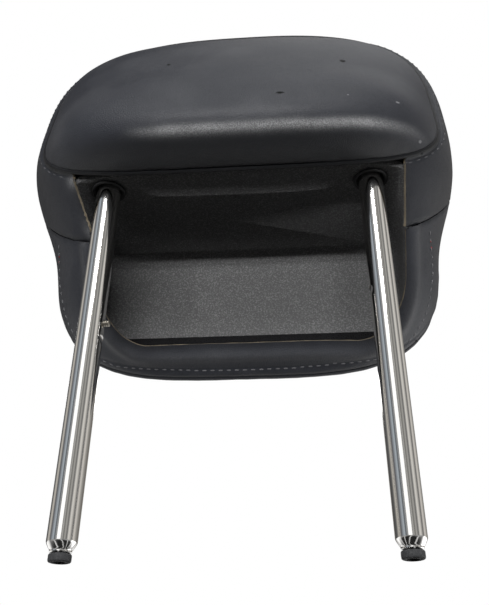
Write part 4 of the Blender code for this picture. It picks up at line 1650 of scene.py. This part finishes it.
@dataclass
class HiddenHardware:
    """Finishes for the nodes inside the cushion, which keep their own shapes, and the spring's coil."""

    steel_nodes: tuple[str, ...] = ("cross_bar", "left_post_collar", "right_post_collar", "carrier_screw_1",
                                    "carrier_screw_2", "carrier_screw_3", "carrier_screw_4")
    plastic_nodes: tuple[str, ...] = ("carrier_rear", "carrier_front")
    spring_wire: float = 0.0005
    spring_turns: int = 5
    spring_give: float = 0.0026

    def build(self) -> None:
        """Dress the hidden nodes and build the spring."""
        steel = MetalFinish("zinc_steel", (0.48, 0.48, 0.47), (0.30, 0.29, 0.27), 0.3,
                            (300.0, 300.0, 300.0)).build()
        plastic = PlasticFinish("carrier_plastic", (0.035, 0.035, 0.036), (0.07, 0.07, 0.07)).build()
        for names, finish in ((self.steel_nodes, steel), (self.plastic_nodes, plastic)):
            for name in names:
                dress(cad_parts[name], finish)
                LOG.info("%s keeps its shape", name)
        self._spring(steel)

    def _spring(self, finish: Material) -> None:
        """The coil behind the stop button."""
        low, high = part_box("stop_spring")
        middle = (low + high) / 2
        share = np.linspace(0.0, 1.0, 24 * self.spring_turns + 1)
        angle = math.tau * self.spring_turns * share
        radius = (high.z - low.z - self.spring_wire) / 2
        along = low.x + self.spring_wire / 2 + share * (high.x - low.x - self.spring_wire)
        line = np.column_stack([along, middle.y + radius * np.cos(angle), middle.z + radius * np.sin(angle)])
        spring = cord_along("stop_spring_coil", line, self.spring_wire / 2, False)
        dress(spring, finish)
        place_piece(spring, "stop_spring", BODY)
        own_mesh(spring)


@dataclass(frozen=True)
class Lamp:
    """A soft lamp that faces the cushion: a square, or a flat strip where it has a height."""

    name: str
    place: tuple[float, float, float]
    size: float
    power: float
    height: Optional[float] = None
    mirrored: bool = True

    def build(self) -> None:
        """Set up the lamp."""
        clear_selection()
        bpy.ops.object.light_add(type="AREA", location=self.place)
        lamp = bpy.context.object
        lamp.name = self.name
        lamp.data.size = self.size
        lamp.data.energy = self.power
        if self.height is not None:
            lamp.data.shape = "RECTANGLE"
            lamp.data.size_y = self.height
        lamp.visible_glossy = self.mirrored
        aim = Vector((0.0, 0.0, 0.22)) - Vector(self.place)
        lamp.rotation_euler = aim.to_track_quat("-Z", "Y").to_euler()


@dataclass
class Studio:
    """Camera, pale floor, white surround and soft light."""

    eye: tuple[float, float, float] = (0.02901, -0.31245, -0.05583)
    pitch: float = 59.257
    yaw: float = -3.909
    roll: float = 1.974
    focal_pixels: float = 690.0
    frame_height: float = 605.0
    floor_z: float = -0.16
    floor_size: float = 6.0
    ring_lift: float = 0.01
    ring_size: float = 5.0
    ray_step: int = 52
    wall_radius: float = 3.0
    wall_height: float = 7.0
    wall_middle: float = 2.0
    ambient: float = 0.01
    lamps: tuple[Lamp, ...] = (Lamp("roof_lamp", (0.35, -0.05, 1.55), 1.1, 3.8),
                               Lamp("key_lamp", (-0.10, -1.37, 1.00), 0.4, 11.0),
                               Lamp("low_lamp", (-0.20, -1.60, 0.228), 1.4, 24.0, 0.03, False),
                               Lamp("left_lamp", (-1.4, -0.5, 0.42), 0.3, 0.7, None, False),
                               Lamp("right_lamp", (1.4, -0.3, 0.42), 0.3, 9.0, None, False),
                               Lamp("front_lamp", (-0.3, 1.3, 1.1), 1.0, 9.0))

    def build(self) -> None:
        """Set up the studio."""
        bpy.context.scene.view_settings.view_transform = "Standard"
        self._camera()
        self._floor()
        self._surround()
        self._reflected_walls()
        self._reflected_floor()
        for lamp in self.lamps:
            lamp.build()

    def _camera(self) -> None:
        """The camera at the photograph's viewing angle."""
        cos_pitch, cos_yaw, cos_roll = (math.cos(math.radians(a)) for a in (self.pitch, self.yaw, self.roll))
        sin_pitch, sin_yaw, sin_roll = (math.sin(math.radians(a)) for a in (self.pitch, self.yaw, self.roll))
        base = np.array([[1, 0, 0], [0, -cos_pitch, sin_pitch], [0, sin_pitch, cos_pitch]])
        turn = np.array([[cos_yaw, 0, -sin_yaw], [0, 1, 0], [sin_yaw, 0, cos_yaw]])
        tilt = np.array([[cos_roll, -sin_roll, 0], [sin_roll, cos_roll, 0], [0, 0, 1]])
        right, up, forward = tilt @ turn @ base
        clear_selection()
        bpy.ops.object.camera_add(location=self.eye)
        camera = bpy.context.object
        rows = [[right[k], up[k], -forward[k], self.eye[k]] for k in range(3)]
        camera.matrix_world = Matrix(rows + [[0, 0, 0, 1]])
        camera.data.sensor_width = 36.0
        camera.data.lens = self.focal_pixels / self.frame_height * camera.data.sensor_width
        camera.data.clip_start = 0.01
        bpy.context.scene.camera = camera

    def _floor(self) -> None:
        """A plain pale floor below the camera, which sends little light up to the part."""
        floor = start_piece("studio_floor", bpy.ops.mesh.primitive_plane_add, size=self.floor_size,
                            location=(0, 0, self.floor_z))
        dress(floor, FloorFinish("pale_floor", level=self.floor_z).build())

    def _surround(self) -> None:
        """A world that looks white and lights the part softly."""
        world = bpy.data.worlds.new("white_surround")
        bpy.context.scene.world = world
        sheet = ShaderSheet(world)
        strength = self.ambient + sheet.seen() * (1.0 - self.ambient)
        light = sheet.node("ShaderNodeBackground", None, {"Color": (1, 1, 1, 1), "Strength": strength})
        sheet.end("ShaderNodeOutputWorld", light)

    def _reflected_walls(self) -> None:
        """Walls that only reflections see, with pale and dark strips as in a photographer's tent."""
        walls = start_piece("reflected_walls", bpy.ops.mesh.primitive_cylinder_add, vertices=96,
                            radius=self.wall_radius, depth=self.wall_height, end_fill_type="NGON",
                            location=(0, 0, self.wall_middle))
        strips = [(-180, (0.30, 0.28, 0.25)), (-145, (0.07, 0.07, 0.07)), (-118, (0.12, 0.12, 0.12)),
                  (-95, (0.62, 0.59, 0.54)), (-76, (0.10, 0.10, 0.11)), (-50, (0.46, 0.51, 0.56)),
                  (-40, (0.07, 0.08, 0.09)), (-31, (0.40, 0.41, 0.42)), (-26, (0.10, 0.10, 0.11)),
                  (-22, (1.36, 1.36, 1.35)), (1, (1.36, 1.36, 1.35)), (6, (0.12, 0.12, 0.12)),
                  (13, (0.52, 0.51, 0.49)), (22, (0.16, 0.16, 0.15)), (33, (0.44, 0.43, 0.41)),
                  (46, (0.13, 0.13, 0.13)), (60, (0.78, 0.76, 0.72)), (70, (0.60, 0.58, 0.55)),
                  (86, (0.12, 0.12, 0.12)), (103, (0.72, 0.69, 0.65)), (125, (0.34, 0.33, 0.31)),
                  (155, (0.16, 0.15, 0.14)), (180, (0.30, 0.28, 0.25))]
        material = bpy.data.materials.new("strip_walls")
        sheet = ShaderSheet(material)
        height = sheet.part_of(sheet.coordinates(), "Z")
        dimmed = sheet.mix(height.eased(2.4, 3.5) * 0.75, self._strip_colors(sheet, strips), BLACK)
        self._only_reflected(walls, material, sheet, dimmed)

    def _reflected_floor(self) -> None:
        """Bright and dark wedges round the part, and bright rays below it, that only reflections see."""
        level = self.floor_z + self.ring_lift
        ring = start_piece("reflected_floor", bpy.ops.mesh.primitive_plane_add, size=self.ring_size,
                           location=(0, 0, level))
        wedges = [(-180, 1.3), (-152, 0.5), (-138, 1.3), (-100, 1.1), (-80, 0.22), (-50, 0.4), (-20, 0.18),
                  (0, 0.4), (20, 0.22), (50, 0.4), (80, 0.25), (100, 2.2), (138, 2.3), (152, 0.5), (180, 1.3)]
        dim, bright = 0.02, 0.75
        rays = [(-180, dim)]
        for middle in range(-180 + self.ray_step // 2, 180, self.ray_step):
            rays += [(middle - 6, dim), (middle - 2, bright), (middle + 2, bright), (middle + 6, dim)]
        material = bpy.data.materials.new("bright_ring")
        sheet = ShaderSheet(material)
        reach = sheet.distance_to(sheet.coordinates(), (0.0, -0.15, level))
        inner, outer = (self._strip_colors(sheet, [(degrees, (grey,) * 3) for degrees, grey in strips])
                        for strips in (rays, wedges))
        self._only_reflected(ring, material, sheet, sheet.mix(reach.eased(0.18, 0.52), inner, outer))

    @staticmethod
    def _strip_colors(sheet: ShaderSheet, strips: Sequence[tuple[float, Color]]) -> Wire:
        """Colours by the angle round the part, in degrees from the rear.

        Args:
            sheet: The material's sheet.
            strips: Angles from -180 to 180 with their colours.

        Returns:
            The colour.
        """
        place = sheet.coordinates()
        sides = {0: sheet.part_of(place, "X"), 1: sheet.part_of(place, "Y") * -1.0}
        angle = sheet.node("ShaderNodeMath", {"operation": "ARCTAN2"}, sides)
        stops = [((degrees + 180) / 360, color) for degrees, color in strips]
        return sheet.node("ShaderNodeValToRGB", {"stops": stops}, {0: angle / math.tau + 0.5}, "Color")

    @staticmethod
    def _only_reflected(piece: Piece, material: Material, sheet: ShaderSheet, color: Wire) -> None:
        """Let a stage piece glow, and hide it from all but reflected rays.

        Args:
            piece: The stage piece.
            material: Its material.
            sheet: The material's sheet.
            color: The colour of its glow.
        """
        glow = sheet.node("ShaderNodeEmission", None, {"Color": color, "Strength": 1.0})
        sheet.end("ShaderNodeOutputMaterial", glow)
        dress(piece, material)
        piece.visible_camera = False
        piece.visible_diffuse = False
        piece.visible_transmission = False
        piece.visible_shadow = False


def main() -> None:
    """Build the studio and the part, and report each piece."""
    logging.basicConfig(level=logging.INFO, format="%(message)s")
    Studio().build()
    Cushion().build()
    BottomTray().build()
    Posts().build()
    HiddenHardware().build()


if __name__ == "__main__":
    main()
